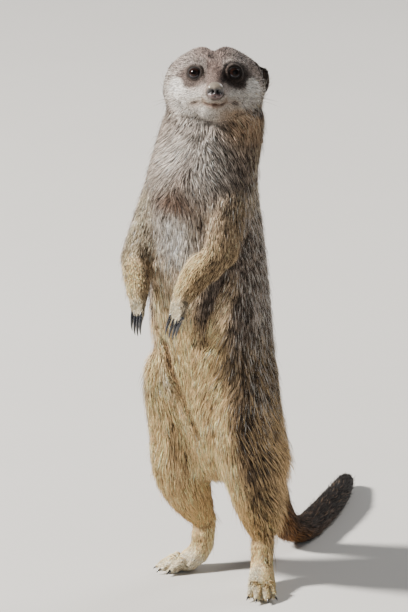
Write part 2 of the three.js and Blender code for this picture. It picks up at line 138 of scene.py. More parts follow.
class Finish:  # a material and the nodes that are added to it
    def __init__(self, name, **fixed):
        self.material = bpy.data.materials.new(name)
        self.material.use_nodes = True
        self.tree = self.material.node_tree
        self.surface = self.tree.nodes["Principled BSDF"]
        for socket, value in fixed.items():
            self.surface.inputs[socket.replace("_", " ")].default_value = value

    def node(self, kind, settings, values, out=0):
        made = self.tree.nodes.new(kind)
        for key, value in settings.items():
            setattr(made, key, value)
        for key, value in values.items():
            self.feed(made.inputs[key], value)
        return Wire(self.tree, made.outputs[out])

    def feed(self, socket, value):
        if isinstance(value, Wire):
            self.tree.links.new(value.socket, socket)
        else:
            socket.default_value = value

    def place(self):
        return self.node("ShaderNodeTexCoord", {}, {}, "Object")

    def grain(self, scale, detail=2.0):
        return self.node("ShaderNodeTexNoise", {}, {"Vector": self.place(), "Scale": scale, "Detail": detail})

    def keptColour(self):  # the colours that withColours keeps with the mesh
        return self.node("ShaderNodeVertexColor", {"layer_name": "fur"}, {})

    def mixedColours(self, share, first, second):  # between two colours as seen, 0 to 255
        return self.mixed(share, (*linear(*first), 1), (*linear(*second), 1))

    def mixed(self, share, first, second, how="MIX"):
        settings = {"data_type": "RGBA", "blend_type": how, "clamp_factor": True}
        return self.node("ShaderNodeMix", settings, {0: share, 6: first, 7: second}, 2)

    def bumped(self, height, strength, distance):
        values = {"Height": height, "Strength": strength, "Distance": distance}
        self.feed(self.surface.inputs["Normal"], self.node("ShaderNodeBump", {}, values))

    def feedSurface(self, **values):
        for socket, value in values.items():
            self.feed(self.surface.inputs[socket.replace("_", " ")], value)


def placed(name, data):  # a new object in the scene
    made = bpy.data.objects.new(name, data)
    bpy.context.scene.collection.objects.link(made)
    return made


def smoothed(mesh):
    mesh.polygons.foreach_set("use_smooth", np.ones(len(mesh.polygons), bool))
    mesh.update()


def meshFrom(name, points, faces, material):
    mesh = bpy.data.meshes.new(name)
    mesh.from_pydata(inScene(points), [], faces)
    mesh.materials.append(material)
    smoothed(mesh)
    return placed(name, mesh)


def gridFaces(rows, columns, closedRows=False):  # quads of a grid whose columns close on themselves
    down = np.arange(rows if closedRows else rows - 1)[:, None]
    across = np.arange(columns)[None, :]
    below, beside = (down + 1) % rows, (across + 1) % columns
    corners = [down * columns + across, below * columns + across, below * columns + beside, down * columns + beside]
    return np.stack([np.broadcast_to(corner, (len(down), columns)) for corner in corners], -1).reshape(-1, 4)


def cappedFaces(rows, columns):  # the quads of a tube and the two faces that close its ends
    last = rows * columns - 1
    return gridFaces(rows, columns).tolist() + [list(range(columns)), list(range(last, last - columns, -1))]


def outward(piece):  # turns a closed mesh's faces to the outside
    work = bmesh.new()
    work.from_mesh(piece.data)
    bmesh.ops.recalc_face_normals(work, faces=work.faces)
    work.to_mesh(piece.data)
    work.free()


def withColours(piece, colours):  # colours per point, kept with the mesh
    layer = piece.data.color_attributes.new("fur", "FLOAT_COLOR", "POINT")
    layer.data.foreach_set("color", np.column_stack([colours, np.ones(len(colours))]).astype(np.float32).ravel())


def finished(piece, slot, *replaced):
    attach(piece, "root")
    if replaced:
        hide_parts(*replaced)
    return piece


# How the coat lies and what colour it is, part by part.
furColours = {
    "white": linear(222, 216, 208), "cream": linear(216, 200, 170), "silver": linear(184, 178, 171),
    "ash": linear(192, 176, 162), "grey": linear(158, 142, 130), "tan": linear(196, 168, 132),
    "gold": linear(204, 168, 116), "amber": linear(186, 140, 86), "chestnut": linear(118, 84, 60),
    "straw": linear(228, 194, 144), "dun": linear(140, 116, 94), "dusk": linear(92, 73, 58),
    "umber": linear(52, 39, 31), "black": linear(24, 20, 19), "rust": linear(112, 68, 52),
    "shade": linear(34, 27, 24), "rosy": linear(156, 132, 122), "ochre": linear(150, 106, 64),
    "brown": linear(98, 82, 75), "sienna": linear(170, 140, 110),
}

# path: where the part runs; half: its half widths there; then hair length, lift off the skin in degrees,
# width, depth of coat; its colour below and above; the share of dark hairs below and above; evening: smoothing
handLook = dict(half=[5.2, 5], width=0.27, depth=0.25, colour=["cream", "cream"], dark=[0.02, 0.05], evening=0.1)
hockLook = dict(half=[7, 6.5], length=4.8, lift=11, width=0.37, depth=0.5, colour=["straw", "straw"], evening=0.4)
toeLook = dict(half=[6.5, 8], length=2.6, lift=7, width=0.30, depth=0.3, colour=["cream", "straw"],
               dark=[0.02, 0.05], evening=0.15)
earLook = dict(head=True, half=[5.4, 5.4], length=2.4, lift=12, width=0.28, depth=0.3, colour=["umber", "umber"],
               dark=[0.4, 0.4], evening=0.1)
bodyParts = {
    "muzzle": dict(head=True, path=[[0, -37, -8], [0, -22, -5]], half=[6, 13], length=2.1, lift=11, width=0.27,
                   depth=0.4, colour=["silver", "silver"], dark=[0.1, 0.16], evening=0.2),
    "skull": dict(head=True, path=[[0, -12, -3], [0, 9, -3]], half=[21, 23], length=3.3, lift=11, width=0.27,
                  depth=1.1, colour=["silver", "silver"], dark=[0.14, 0.5], evening=0.45),
    "neck": dict(path=[[0, -5, 270], [0, -14, 246]], half=[25, 27], length=8.5, lift=20, width=0.34,
                 depth=1.9, colour=["grey", "grey"], dark=[0.22, 0.6], evening=0.9),
    "chest": dict(path=[[0, -14, 240], [0, -7, 187]], half=[29, 32], length=8.5, lift=14, width=0.34,
                  depth=2.1, colour=["ash", "ash"], dark=[0.26, 0.72], evening=0.9),
    "belly": dict(path=[[-3.4, -5, 180], [-2.6, -0.5, 130]], half=[34, 33], length=9.5, lift=13, width=0.36,
                  depth=2.3, colour=["straw", "ash"], dark=[0.12, 0.76], evening=0.9),
    "hips": dict(path=[[-1, 0, 124], [0, 4, 82]], half=[32, 24], length=9.5, lift=12, width=0.36,
                 depth=2.1, colour=["straw", "tan"], dark=[0.04, 0.76], evening=0.9),
    "upperArmLeft": dict(path=[[22, -22, 230], [27, -36.5, 204.5]], half=[12, 10], length=6.0, lift=13, width=0.33,
                         depth=1.3, colour=["tan", "tan"], dark=[0.22, 0.42], evening=0.8),
    "upperArmRight": dict(path=[[-22, -20, 230], [-34, -29, 189]], half=[12, 10], length=6.0, lift=16, width=0.33,
                          depth=1.3, colour=["cream", "ash"], dark=[0.2, 0.4], evening=0.8),
    "forearmLeft": dict(path=[[27, -36.5, 204.5], [21, -48.5, 195.5], [18, -60.5, 184]], half=[9, 6], length=4.6,
                        lift=13, width=0.31, depth=0.8, colour=["straw", "straw"], dark=[0.1, 0.28], evening=0.45),
    "forearmRight": dict(path=[[-34, -29, 189], [-25.6, -40.6, 183.7], [-15.4, -54.7, 177.8]], half=[8.8, 6],
                         length=4.6, lift=13, width=0.31, depth=0.8, colour=["straw", "straw"], dark=[0.08, 0.24],
                         evening=0.45),
    "handLeft": dict(handLook, path=[[18, -60.5, 184], [20, -68.6, 175], [19, -70, 170]], length=2.6, lift=8),
    "handRight": dict(handLook, path=[[-15.4, -54.7, 177.8], [-11.4, -60.5, 170], [-11, -61, 165]], length=2.4,
                      lift=10),
    # Left thigh and shank carry many more dark hairs above than the right ones: partly grizzle, partly painted
    # shade.
    "thighLeft": dict(path=[[17, -1, 135], [20.8, 2.5, 72]], half=[20, 20], length=10.5, lift=14, width=0.34,
                      depth=2.4, colour=["straw", "straw"], dark=[0.05, 0.74], evening=0.9),
    "thighRight": dict(path=[[-20, -8, 135], [-19.5, -4.4, 72]], half=[20, 20], length=10.5, lift=15, width=0.37,
                       depth=2.4, colour=["straw", "straw"], dark=[0.03, 0.38], evening=0.9),
    "shankLeft": dict(path=[[21, 3.5, 66], [21.5, 11, 33]], half=[18, 9.5], length=10.5, lift=17, width=0.34,
                      depth=2.1, colour=["gold", "gold"], dark=[0.1, 0.66], evening=0.8),
    "shankRight": dict(path=[[-20.6, -4.4, 66], [-21.4, 11, 33]], half=[18, 9.5], length=10.5, lift=17, width=0.36,
                       depth=2.1, colour=["gold", "amber"], dark=[0.06, 0.25], evening=0.8),
    "hockLeft": dict(hockLook, path=[[21.5, 12, 30], [23.8, 8, 12]], dark=[0.05, 0.14]),
    "hockRight": dict(hockLook, path=[[-20.5, 15, 30], [-19.8, 11, 12]], dark=[0.05, 0.12]),
    "toesLeft": dict(toeLook, path=[[25, 6, 8], [31.5, -3.5, 4.6], [39.5, -15, 2.8]]),
    "toesRight": dict(toeLook, path=[[-20.8, 9, 8], [-24.8, 4, 4.6], [-33, -6, 2.8]]),
    "tailBase": dict(path=[[0, 26, 93], [0, 38, 76], [0, 50, 46]], half=[11, 9], length=8.0, lift=15, width=0.37,
                     depth=1.2, colour=["ochre", "dun"], dark=[0.3, 0.62], evening=0.6),
    "tailBend": dict(path=[[0, 51, 42], [1.5, 64, 15], [2, 74, 9]], half=[8.6, 7.6], length=7.5, lift=15,
                     width=0.37, depth=0.8, colour=["ochre", "dusk"], dark=[0.3, 0.6], evening=0.5),
    "tailMiddle": dict(path=[[2, 78, 7.4], [-4, 110, 6.6]], half=[7.4, 7.2], length=7.0, lift=15, width=0.37,
                       depth=0.7, colour=["dusk", "umber"], dark=[0.45, 0.7], evening=0.4),
    "tailTip": dict(path=[[-5, 113, 6.6], [-13, 140, 6.4], [-25, 168, 5.2]], half=[7.1, 4.8], length=7.0, lift=16,
                    width=0.37, depth=0.7, colour=["shade", "shade"], dark=[0.5, 0.7], evening=0.4),
    "earLeft": dict(earLook, path=[[24.5, 5.5, -5], [27, 3, 8]]),
    "earRight": dict(earLook, path=[[-24.5, 8, -6], [-25.5, 6, 7]]),
}
partNames = list(bodyParts)
headParts = ("muzzle", "skull")
tailParts = ("tailBase", "tailBend", "tailMiddle", "tailTip")
for part in bodyParts.values():
    part["path"] = fromHead(part["path"]) if part.get("head") else np.array(part["path"], float)


# The nearest place on a bent path: distance to it, direction of the path there, share of its length.
def alongPath(points, path):
    lengths = np.linalg.norm(np.diff(path, axis=0), axis=1)
    before = np.concatenate([[0], np.cumsum(lengths)])
    best = np.full(len(points), np.inf)
    heading, share = np.zeros_like(points), np.zeros(len(points))
    for k, length in enumerate(lengths):
        step = (path[k + 1] - path[k]) / length
        reach = np.clip((points - path[k]) @ step, 0, length)
        distance = np.linalg.norm(points - path[k] - reach[:, None] * step, axis=1)
        near = distance < best
        best[near], heading[near] = distance[near], step
        share[near] = (before[k] + reach[near]) / before[-1]
    return best, heading, share


# Every part's weight at each point, which falls off as the distance over the part's half width grows.
def partWeights(points, sharpness=14.0):
    ratios, headings = [], []
    for part in bodyParts.values():
        distance, heading, share = alongPath(points, part["path"])
        ratios.append(distance / (part["half"][0] + (part["half"][-1] - part["half"][0]) * share))
        headings.append(heading)
    ratios = np.array(ratios)
    weights = np.exp(-sharpness * (ratios - ratios.min(0)))
    weights /= weights.sum(0)
    return weights.T, np.array(headings).transpose(1, 0, 2)


def ofParts(weights, key, place=None):  # a value of the parts, blended by their weights
    values = [part[key] if place is None else part[key][place] for part in bodyParts.values()]
    if isinstance(values[0], str):
        values = [furColours[value] for value in values]
    return weights @ np.array(values)


def shareOf(weights, *names):  # how much of each point belongs to the named parts
    return weights[:, [partNames.index(name) for name in names]].sum(1)


eyeShape = {"at": [9.9, -17.2, 3.9], "radius": 4.35, "gaze": [0.3, -0.93, 0.14], "cornea": 0.26,
            "corneaReach": 0.62, "opening": 39.0}


def eyeCentre(sign):
    return np.array(eyeShape["at"]) * [sign, 1, 1]


def gazeOf(sign):
    return unit(np.array(eyeShape["gaze"]) * [sign, 1, 1])


# The skin: one closed surface melted from the flesh, drawn in by the depth of the coat.
skinShape = {"fusing": 0.3, "cell": 1.15, "rounds": 22, "pull": 0.6, "socketRounds": 2, "socketPull": 0.3,
             "floor": 0.05, "noseClear": [3.0, 16.0]}
bare = ("eye_", "nose", "hand_claw_", "toe_claw_")
flesh = sorted(name for name in nodes if not name.startswith(bare))
underSkin = flesh + ["eye_left", "eye_right"]  # the eyeballs fill their hollows, and the opening is shaped again

# Folds and swellings: places along each, its width, how far it pushes out, and whether it is in the head's frame.
throatLine = [[10.9, -25.3, 270.9], [7.4, -28.8, 263.3], [4.8, -32.4, 257.1], [2.8, -36.1, 250.9]]
mouthLine = [[12, -17.5, -11.4], [9.7, -23.2, -11.8], [6.6, -29.5, -12.3], [3.9, -33.2, -12.7], [0, -35.2, -12.9],
             [-3.9, -33.2, -12.7], [-6.6, -29.5, -12.3], [-9.7, -23.2, -11.8], [-12, -17.5, -11.4]]


def headPair(path, width, push):  # the same fold on the left and the right of the head
    return [dict(head=True, path=[[sign * x, y, z] for x, y, z in path], width=width, push=push)
            for sign in bothSides.values()]


folds = [
    dict(head=True, path=mouthLine, width=0.9, push=-1.4),
    dict(path=[[15, -39, 221], [14, -38, 213], [17, -40, 205]], width=4.5, push=-3.0),    # below the armpit
    dict(path=throatLine, width=2.0, push=-3.0),
    dict(path=[[-19, -28, 146], [-11.7, -30, 126.6], [-3.9, -28.5, 111.4], [3.2, -26, 94.6]],
         width=2.4, push=-4.6),                                                           # along the groin
    dict(path=[[-24, -26, 146], [-16.4, -29, 126.6], [-8.6, -28, 111.4], [-1.4, -26, 94.6]],
         width=2.6, push=2.6),
    dict(path=[[14, -28, 96], [10, -21, 76]], width=4.0, push=-1.6),                      # inside of the left thigh
    dict(path=[[-10, -28, 96], [-7, -21, 78]], width=4.0, push=-1.4),
    dict(path=[[-31, -26, 205], [-33, -25, 160]], width=3.6, push=1.4),                 # flank behind the right arm
    dict(path=[[-24, -32, 189], [-25, -31, 158]], width=3.0, push=-2.6),
    dict(path=[[-6, -42, 238], [-4, -41, 228], [0, -40, 205]], width=3.4, push=-1.0),     # breastbone
    dict(path=[[24, -25, 185], [18, -28.5, 173], [13.5, -30.3, 161], [12, -29.8, 150]],
         width=6.0, push=-7.0),                                                           # under the left forearm
    dict(path=[[29, -18, 186], [25, -23, 172], [20, -26.5, 160], [16, -27.5, 148]],
         width=3.6, push=2.2),
    dict(head=True, path=[[-19, -13, -19], [-11, -21, -20], [0, -24, -20], [11, -21, -20], [16, -15, -19]],
         width=5.0, push=2.2),                                                            # under the jaw
    *headPair([[2.6, -35, -11.0], [6.4, -30, -11.0]], 2.0, 0.6),                          # whisker pads
    *headPair([[5, -20.5, 9], [10, -17.5, 10.6], [15, -13, 9.6]], 2.1, 1.3),              # brows
    *headPair([[6, -24, 2], [9, -21.5, -2.5], [14, -16.5, -3.4]], 1.9, -0.7),             # below the eyes
    dict(head=True, path=[[0, -31, 0.4], [0, -20, 8]], width=2.2, push=0.5),              # bridge of the nose
    *headPair([[3.8, -28, -1.5], [5.6, -22.5, 3.5]], 1.5, -0.8),                          # beside the bridge
    dict(head=True, path=[[0, -14, 13], [0, 0, 19], [0, 10, 18]], width=2.6, push=-1.9),  # furrow of the crown
    *headPair([[7, -8, 17], [7, 5, 19]], 5.0, 0.9),                                       # swell of the crown
]


def meltedFlesh():  # the flesh nodes, each grown a little so that they run into one another
    allPoints, allFaces, start = [], [], 0
    for name in underSkin:
        mesh = nodes[name].data
        points, index = np.unique(np.round(readPoints(mesh), 3), axis=0, return_inverse=True)
        faces = index.ravel()[readTriangles(mesh)]
        across = np.cross(points[faces[:, 1]] - points[faces[:, 0]], points[faces[:, 2]] - points[faces[:, 0]])
        normals = np.zeros_like(points)
        for k in range(3):
            np.add.at(normals, faces[:, k], across)
        allPoints.append(points + unit(normals) * skinShape["fusing"])
        allFaces.append(faces + start)
        start += len(points)
    return np.concatenate(allPoints), np.concatenate(allFaces)


def readTriangles(mesh):
    mesh.calc_loop_triangles()
    corners = np.empty(len(mesh.loop_triangles) * 3, np.int32)
    mesh.loop_triangles.foreach_get("vertices", corners)
    return corners.reshape(-1, 3)


def readPoints(mesh):
    raw = np.empty(len(mesh.vertices) * 3, np.float32)
    mesh.vertices.foreach_get("co", raw)
    return fromScene(raw.reshape(-1, 3))


def readNormals(mesh):
    raw = np.empty(len(mesh.vertices) * 3, np.float32)
    mesh.vertex_normals.foreach_get("vector", raw)
    return raw.reshape(-1, 3).astype(float)


def writePoints(mesh, points):
    mesh.vertices.foreach_set("co", inScene(points).astype(np.float32).ravel())
    mesh.update()


def averager(mesh):  # gives a function that averages values over each point's neighbours
    pairs = np.empty(len(mesh.edges) * 2, np.int32)
    mesh.edges.foreach_get("vertices", pairs)
    first, second = pairs.reshape(-1, 2).T
    count = len(mesh.vertices)
    degree = np.bincount(first, minlength=count) + np.bincount(second, minlength=count)

    def average(values):
        total = [np.bincount(first, values[second, k], count) + np.bincount(second, values[first, k], count)
                 for k in range(values.shape[1])]
        return np.stack(total, 1) / degree[:, None]
    return average


def finerFace(mesh):  # halves the faces of the front of the head
    work = bmesh.new()
    work.from_mesh(mesh)
    work.faces.ensure_lookup_table()
    middles = toHead(fromScene(np.array([face.calc_center_median() for face in work.faces])))
    front = (middles[:, 1] < -8) & (np.linalg.norm(middles - [0, -14, -4], axis=1) < 34)
    edges = {edge for k in np.flatnonzero(front) for edge in work.faces[k].edges}
    bmesh.ops.subdivide_edges(work, edges=list(edges), cuts=1, use_grid_fill=True)
    work.to_mesh(mesh)
    work.free()


# Fingers and toes: how far each runs back from its claw, its half width, and where they come from.
digits = {
    "hand_claw_left": dict(behind=9.0, half=[2.0, 1.4], source=[18, -60, 186]),
    "hand_claw_right": dict(behind=9.0, half=[2.0, 1.45], source=[-15.4, -54, 181]),
    "toe_claw_left": dict(behind=10.5, half=[2.7, 1.95], source=[27, 3, 9]),
    "toe_claw_right": dict(behind=10.5, half=[2.7, 1.95], source=[-21.5, 9, 9]),
}


def clawLine(name, group):  # the root, middle and point of a claw
    points = readPoints(nodes[name].data)
    reach = np.linalg.norm(points - digits[group]["source"], axis=1)
    root = points[reach < reach.min() + 1.2].mean(0)
    away = np.linalg.norm(points - root, axis=1)
    end = points[away.argmax()]
    share = (points - root) @ (end - root) / ((end - root) @ (end - root))
    return root, points[np.abs(share - 0.5) < 0.2].mean(0), end


# A digit: a round-ended rod; half width eases from the first to the last value, ends follow a circle.
def digitRod(start, end, half, rows=14, columns=14):
    across = np.arange(columns) / columns * 2 * math.pi
    share = np.linspace(0, 1, rows)
    cap = np.sin(np.clip((1 - share) / 0.16, 0, 1) * math.pi / 2)
    cap = cap * np.sin(np.clip(share / 0.1 + 0.02, 0, 1) * math.pi / 2)
    radius = (half[0] + (half[1] - half[0]) * share) * np.maximum(cap, 0.03)
    axis = unit(end - start)
    side = unit(np.cross(axis, [0.1, 0.3, 1]))
    ring = side * np.cos(across)[:, None] + np.cross(axis, side) * np.sin(across)[:, None]
    middle = start + (end - start) * share[:, None]
    middle[:, 2] += np.sin(share * math.pi) * 0.5
    points = (middle[:, None] + ring[None] * radius[:, None, None]).reshape(-1, 3)
    quads = gridFaces(rows, columns)[:, ::-1]
    ends = [list(range(columns)), list(range(rows * columns - 1, (rows - 1) * columns - 1, -1))]
    return points, quads.tolist(), ends


def allDigits():
    points, faces, start = [], [], 0
    for name in sorted(nodes):
        group = name.rsplit("_", 1)[0]
        if group not in digits:
            continue
        shape = digits[group]
        root, middle, end = clawLine(name, group)
        back = unit(np.array(shape["source"], float) - root)
        made, quads, ends = digitRod(root + back * shape["behind"], root - back * 1.3, shape["half"])
        points.append(made)
        faces += [[corner + start for corner in face] for face in quads + ends]
        start += len(made)
    return np.concatenate(points), faces


def pushedFolds(points, normals):  # each fold pushes by a bell of the distance to its path
    for fold in folds:
        path = fromHead(fold["path"]) if fold.get("head") else np.array(fold["path"], float)
        distance = alongPath(points, path)[0]
        points = points + normals * (fold["push"] * bell(distance, fold["width"]))[:, None]
    return points


# The skin round an eye: in the opening it sinks behind the ball, beyond it it wraps over the ball,
# blended by an S of the angle from the gaze.
def shapedSockets(points):
    local = toHead(points)
    for sign in bothSides.values():
        away = local - eyeCentre(sign)
        distance = np.linalg.norm(away, axis=1)
        gaze = gazeOf(sign)
        angle = np.degrees(np.arccos(np.clip((away / np.maximum(distance, 1e-6)[:, None]) @ gaze, -1, 1)))
        cover = smoothStep(eyeShape["opening"] + 2, eyeShape["opening"] + 13, angle)
        cover = cover * (1 - smoothStep(70, 95, angle))
        lifted = np.maximum(distance, eyeShape["radius"] + 0.5 + 0.5 * bell(angle - 62, 14))
        wanted = distance + (lifted - distance) * cover
        wanted = np.where(angle < eyeShape["opening"] + 2, np.minimum(wanted, eyeShape["radius"] - 0.8), wanted)
        near = (distance < eyeShape["radius"] + 4) & (distance > 1.0)
        moved = eyeCentre(sign) + away / np.maximum(distance, 1e-6)[:, None] * wanted[:, None]
        local = np.where(near[:, None], moved, local)
    return fromHead(local)


def meltedSkin(material):  # the flesh remeshed as one surface, finer on the face
    points, faces = meltedFlesh()
    skin = meshFrom("skin", points, faces.tolist(), material)
    melt = skin.modifiers.new("melt", "REMESH")
    melt.mode, melt.voxel_size = "VOXEL", skinShape["cell"] * 0.001
    shape = skin.evaluated_get(bpy.context.evaluated_depsgraph_get())
    skin.data = bpy.data.meshes.new_from_object(shape)
    skin.modifiers.clear()
    finerFace(skin.data)
    smoothed(skin.data)
    return skin


# The surface is evened out, drawn in along its normals by the coat's depth, less so near the nose, and folded.
def drawIn(mesh):
    points = readPoints(mesh)
    weights = partWeights(points)[0]
    onFloor = points[:, 2] < 0.5
    pull = ofParts(weights, "evening")[:, None] * skinShape["pull"]
    average = averager(mesh)
    for _ in range(skinShape["rounds"]):
        points = points + (average(points) - points) * pull
    writePoints(mesh, points)
    normals = readNormals(mesh)
    fromNose = np.linalg.norm(toHead(points) - [0, -38, -7.4], axis=1)
    depth = ofParts(weights, "depth") * (smoothStep(*skinShape["noseClear"], fromNose) * 0.7 + 0.3)
    points = pushedFolds(points - normals * depth[:, None], normals)
    points[onFloor, 2] = skinShape["floor"]
    for _ in range(skinShape["socketRounds"]):
        points = shapedSockets(points + (average(points) - points) * skinShape["socketPull"])
    points[:, 2] = np.maximum(points[:, 2], skinShape["floor"])
    writePoints(mesh, points)


def joinDigits(mesh, material):
    rods, faces = allDigits()
    rods[:, 2] = np.maximum(rods[:, 2], skinShape["floor"])
    piece = meshFrom("digits", rods, faces, material)
    outward(piece)
    work = bmesh.new()
    work.from_mesh(mesh)
    work.from_mesh(piece.data)
    work.to_mesh(mesh)
    work.free()
    bpy.data.objects.remove(piece)
    smoothed(mesh)


def makeSkin(material):
    skin = meltedSkin(material)
    drawIn(skin.data)
    joinDigits(skin.data, material)
    return skin, averager(skin.data)


# Markings, the same for the skin and for the hairs that grow from it. Each is a tint that covers by its strength
# at the middle and fades by a bell of the distance, with the share of dark hairs that it brings.
class Paint:
    def __init__(self, points, shade, dark):
        self.points, self.shade, self.dark = points, shade, dark

    def tint(self, mask, name, darkness=None):
        self.shade = blended(self.shade, furColours[name], mask)
        if darkness is not None:
            self.dark = self.dark * (1 - mask) + darkness * mask

    def tintMarks(self, marks):
        for mark in marks:
            if "path" in mark:
                distance = alongPath(self.points, np.array(mark["path"], float))[0]
            else:
                distance = np.linalg.norm((self.points - mark["at"]) * mark.get("squash", 1), axis=1)
            self.tint(bell(distance, mark["reach"]) * mark["strength"], mark["colour"], mark["dark"])


chestMarks = [
    # below the left armpit: painted shade in the hollow
    dict(at=[14, -38, 220], reach=6, strength=0.5, colour="dusk", dark=0.4),
    dict(at=[-3, -40, 211], squash=[0.75, 1, 0.62], reach=12, strength=0.9, colour="white", dark=0.12),
    dict(at=[-1.5, -41, 231], squash=[0.5, 0.8, 1.05], reach=6.6, strength=1, colour="chestnut", dark=0.4),  # whorl
    dict(path=[[-0.5, -41, 233], [2.5, -37, 244], [5, -31, 256]], reach=4.2, strength=0.8, colour="chestnut",
         dark=0.45),
    dict(path=[[-19, -26, 146], [-11.7, -27, 126.6], [-3.9, -25.5, 111.4], [3.2, -24, 94.6]],
         reach=2.4, strength=0.95, colour="chestnut", dark=0.5),                          # along the groin: painted shade of the fold
    dict(path=[[-24, -28, 146], [-16.4, -31, 126.6], [-8.6, -30, 111.4], [-1.4, -28, 94.6]],
         reach=2.8, strength=0.85, colour="cream", dark=0.02),                            # the crest beside it
]
lateMarks = [  # laid over the straw of the belly
    dict(at=[-9.5, -26.7, 97], reach=3.0, strength=0.6, colour="chestnut", dark=0.4),
    dict(at=[1.5, -27, 100.4], reach=3.0, strength=0.6, colour="chestnut", dark=0.4),
    dict(at=[11.5, -24.3, 97.4], reach=3.0, strength=0.6, colour="chestnut", dark=0.4),
    dict(at=[4, -30, 255], squash=[0.6, 1, 0.55], reach=13, strength=0.6, colour="white", dark=0.05),    # throat
    dict(path=throatLine, reach=1.9, strength=0.9, colour="umber", dark=0.4),
]
forearmShadowPit = dict(path=[[24, -25, 185], [17, -29, 172], [12.5, -30, 156]], reach=6.5)
backBands = {"apart": 11.5, "wander": 2.2, "dark": 0.3, "tint": 0.35}


def markBody(paint, facing, trunk, upperArm):
    points, height = paint.points, paint.points[:, 2]
    outwardly = np.sign(points[:, 0]) * facing[:, 0]
    back = smoothStep(0.1, 0.7, facing[:, 1]) * trunk * smoothStep(70, 95, height)
    bands = 0.5 + 0.5 * np.sin(height / backBands["apart"] * 2 * math.pi + noise(points, 14) * backBands["wander"])
    paint.dark = paint.dark + back * smoothStep(0.45, 0.85, bands) * backBands["dark"]
    paint.tint(back * 0.3, "dusk")
    paint.tint(back * smoothStep(0.5, 0.9, bands) * backBands["tint"], "umber")
    # the left flank turns dusk with more dark hairs: partly grizzled fur, partly painted shade of the side away
    # from the light
    flank = smoothStep(0.25, 0.75, facing[:, 0]) * trunk * smoothStep(60, 80, height) * (1 - 0.65 * upperArm)
    paint.tint(flank * 0.5 + flank * 0.25 * (1 - smoothStep(110, 150, height)), "dusk")
    paint.dark = paint.dark + flank * 0.12
    # the outer left thigh only turns dusk: partly grizzled fur, partly painted shade of the side away from the
    # light
    outerThigh = smoothStep(0.1, 0.6, facing[:, 0] * 0.9 + facing[:, 1] * 0.35) * smoothStep(44, 64, height) * trunk
    outerThigh = outerThigh * (1 - smoothStep(100, 130, height)) * smoothStep(2, 10, points[:, 0])
    paint.tint(outerThigh * 0.42, "dusk")
    paint.dark = paint.dark + outerThigh * 0.1
    # the pit under the left forearm turns dusk with more dark hairs: painted shadow of the forearm
    fromShadowPit = alongPath(points, np.array(forearmShadowPit["path"], float))[0]
    paint.tint(bell(fromShadowPit, forearmShadowPit["reach"]) * 0.9 * smoothStep(0.0, 0.4, -facing[:, 1]), "dusk", 0.75)
    paint.tintMarks(chestMarks)
    belly = smoothStep(0.2, 0.7, -facing[:, 1]) * smoothStep(84, 100, height) * (1 - smoothStep(150, 172, height))
    paint.tint(belly * (1 - smoothStep(8, 20, np.abs(points[:, 0] - 3))) * 0.6, "straw", 0.03)
    paint.tintMarks(lateMarks)
    innerThigh = smoothStep(0.1, 0.6, -outwardly) * smoothStep(60, 75, height) * (1 - smoothStep(112, 130, height))
    paint.tint(innerThigh * 0.5 * trunk, "straw", 0.03)


# Places on the face, in the head's frame: the front of the eye, the nose, the white of the cheek, the patch
# round the eye and its half widths, and the lines of the crease beside the bridge and of the upper lip.
faceMarks = {"eye": [11.2, -21.3, 4.5], "nose": [0.2, -37.4, -6.2], "cheek": [20.4, -14.5, -3.2],
             "patch": [11.5, 2.3], "patchHalf": [7.4, 6.5], "temple": [20.5, -9, 7], "lip": [0, -34.5, -13.6],
             "crease": [[4.8, -27, -1.5], [5.9, -22.5, 3], [6.4, -20.4, 8]],
             "upperLip": [[-7, -33, -11], [0, -36, -10.4], [8, -33, -11]]}


def fadingOut(low, high, value):  # 1 below low, 0 above high
    return 1 - smoothStep(low, high, value)


